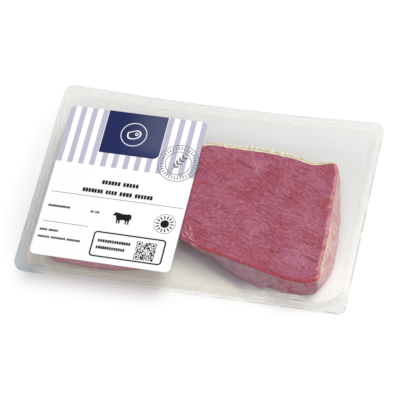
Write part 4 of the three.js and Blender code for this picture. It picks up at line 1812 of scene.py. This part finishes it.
class MEATPACK_OT_stage(bpy.types.Operator):
    """Set the pale floor, the soft lights and the camera"""

    bl_idname = "meatpack.stage"
    bl_label = "Stage"

    def execute(self, context):
        settings = context.scene.meatpack_stage
        scene = context.scene
        form = bmesh.new()
        bmesh.ops.create_grid(form, x_segments=8, y_segments=8, size=FLOOR_HALF)
        mesh = meshed("floor", form)
        floor = linked("floor", mesh)
        mesh.transform(Matrix.Translation((0, 0, CAD_LOW.z - FLOOR_DROP)))
        material, nodes, _ = new_material("Floor")
        matte = nodes.add("ShaderNodeBsdfDiffuse", {"Color": (0.93, 0.93, 0.93, 1.0)})
        nodes.surface(matte)
        mesh.materials.append(material)

        world = bpy.data.worlds.new("Studio")
        scene.world = world
        world.use_nodes = True
        world.node_tree.nodes.clear()
        sky = Nodes(world.node_tree)
        even = sky.add("ShaderNodeBackground", {"Color": (1.0, 1.0, 1.0, 1.0), "Strength": settings.sky})
        sky.add("ShaderNodeOutputWorld", {"Surface": even.outputs[0]})

        self.light("Key", *KEY_LIGHT, settings.key)
        self.light("Fill", *FILL_LIGHT, settings.fill)

        self.camera(scene, settings)
        scene.view_settings.view_transform = "Standard"
        scene.view_settings.look = "None"
        scene.cycles.transparent_max_bounces = 32
        scene.cycles.max_bounces = 10
        return {"FINISHED"}

    def camera(self, scene, settings):
        camera = bpy.data.cameras.new("Camera")
        camera.sensor_width = SENSOR
        camera.lens = settings.focal * SENSOR
        camera.clip_start = 0.05
        camera.clip_end = 20.0
        holder = bpy.data.objects.new("Camera", camera)
        scene.collection.objects.link(holder)
        turn, away = look_from(settings.elevation, settings.azimuth, settings.roll)
        holder.matrix_world = Matrix.Translation(AIM + away * settings.distance) @ turn.to_4x4()
        scene.camera = holder

    def light(self, name, place, size, power):
        lamp = bpy.data.lights.new(name, "AREA")
        lamp.shape = "DISK"
        lamp.size = size
        lamp.energy = power
        holder = bpy.data.objects.new(name, lamp)
        bpy.context.scene.collection.objects.link(holder)
        holder.location = place
        holder.rotation_euler = (Vector(place) - AIM).to_track_quat("Z", "Y").to_euler()


class MEATPACK_PT_panel(bpy.types.Panel):
    """Lists the pack's pieces and their settings"""

    bl_idname = "MEATPACK_PT_panel"
    bl_label = "Meat tray pack"
    bl_space_type = "VIEW_3D"
    bl_region_type = "UI"
    bl_category = "Meat Pack"

    def draw(self, context):
        for operator, group in STEPS:
            box = self.layout.box()
            box.operator(operator.bl_idname)
            settings = getattr(context.scene, group)
            for name in settings.__annotations__:
                box.prop(settings, name)


STEPS = (
    (MEATPACK_OT_tray, "meatpack_tray"),
    (MEATPACK_OT_film, "meatpack_film"),
    (MEATPACK_OT_label, "meatpack_label"),
    (MEATPACK_OT_print, "meatpack_label"),
    (MEATPACK_OT_fillets, "meatpack_beef"),
    (MEATPACK_OT_stage, "meatpack_stage"),
)
GROUPS = {
    "meatpack_tray": TraySettings,
    "meatpack_film": FilmSettings,
    "meatpack_label": LabelSettings,
    "meatpack_beef": BeefSettings,
    "meatpack_stage": StageSettings,
}


def register():
    """Registers the settings, the operators and the panel."""
    for name, group in GROUPS.items():
        bpy.utils.register_class(group)
        setattr(bpy.types.Scene, name, PointerProperty(type=group))
    for operator, _ in STEPS:
        bpy.utils.register_class(operator)
    bpy.utils.register_class(MEATPACK_PT_panel)


def unregister():
    """Takes them out again."""
    bpy.utils.unregister_class(MEATPACK_PT_panel)
    for operator, _ in reversed(STEPS):
        bpy.utils.unregister_class(operator)
    for name, group in reversed(GROUPS.items()):
        delattr(bpy.types.Scene, name)
        bpy.utils.unregister_class(group)


def main():
    """Builds every piece and the stage in order."""
    register()
    for operator, _ in STEPS:
        group, action = operator.bl_idname.split(".")
        getattr(getattr(bpy.ops, group), action)()


if __name__ == "__main__":
    main()
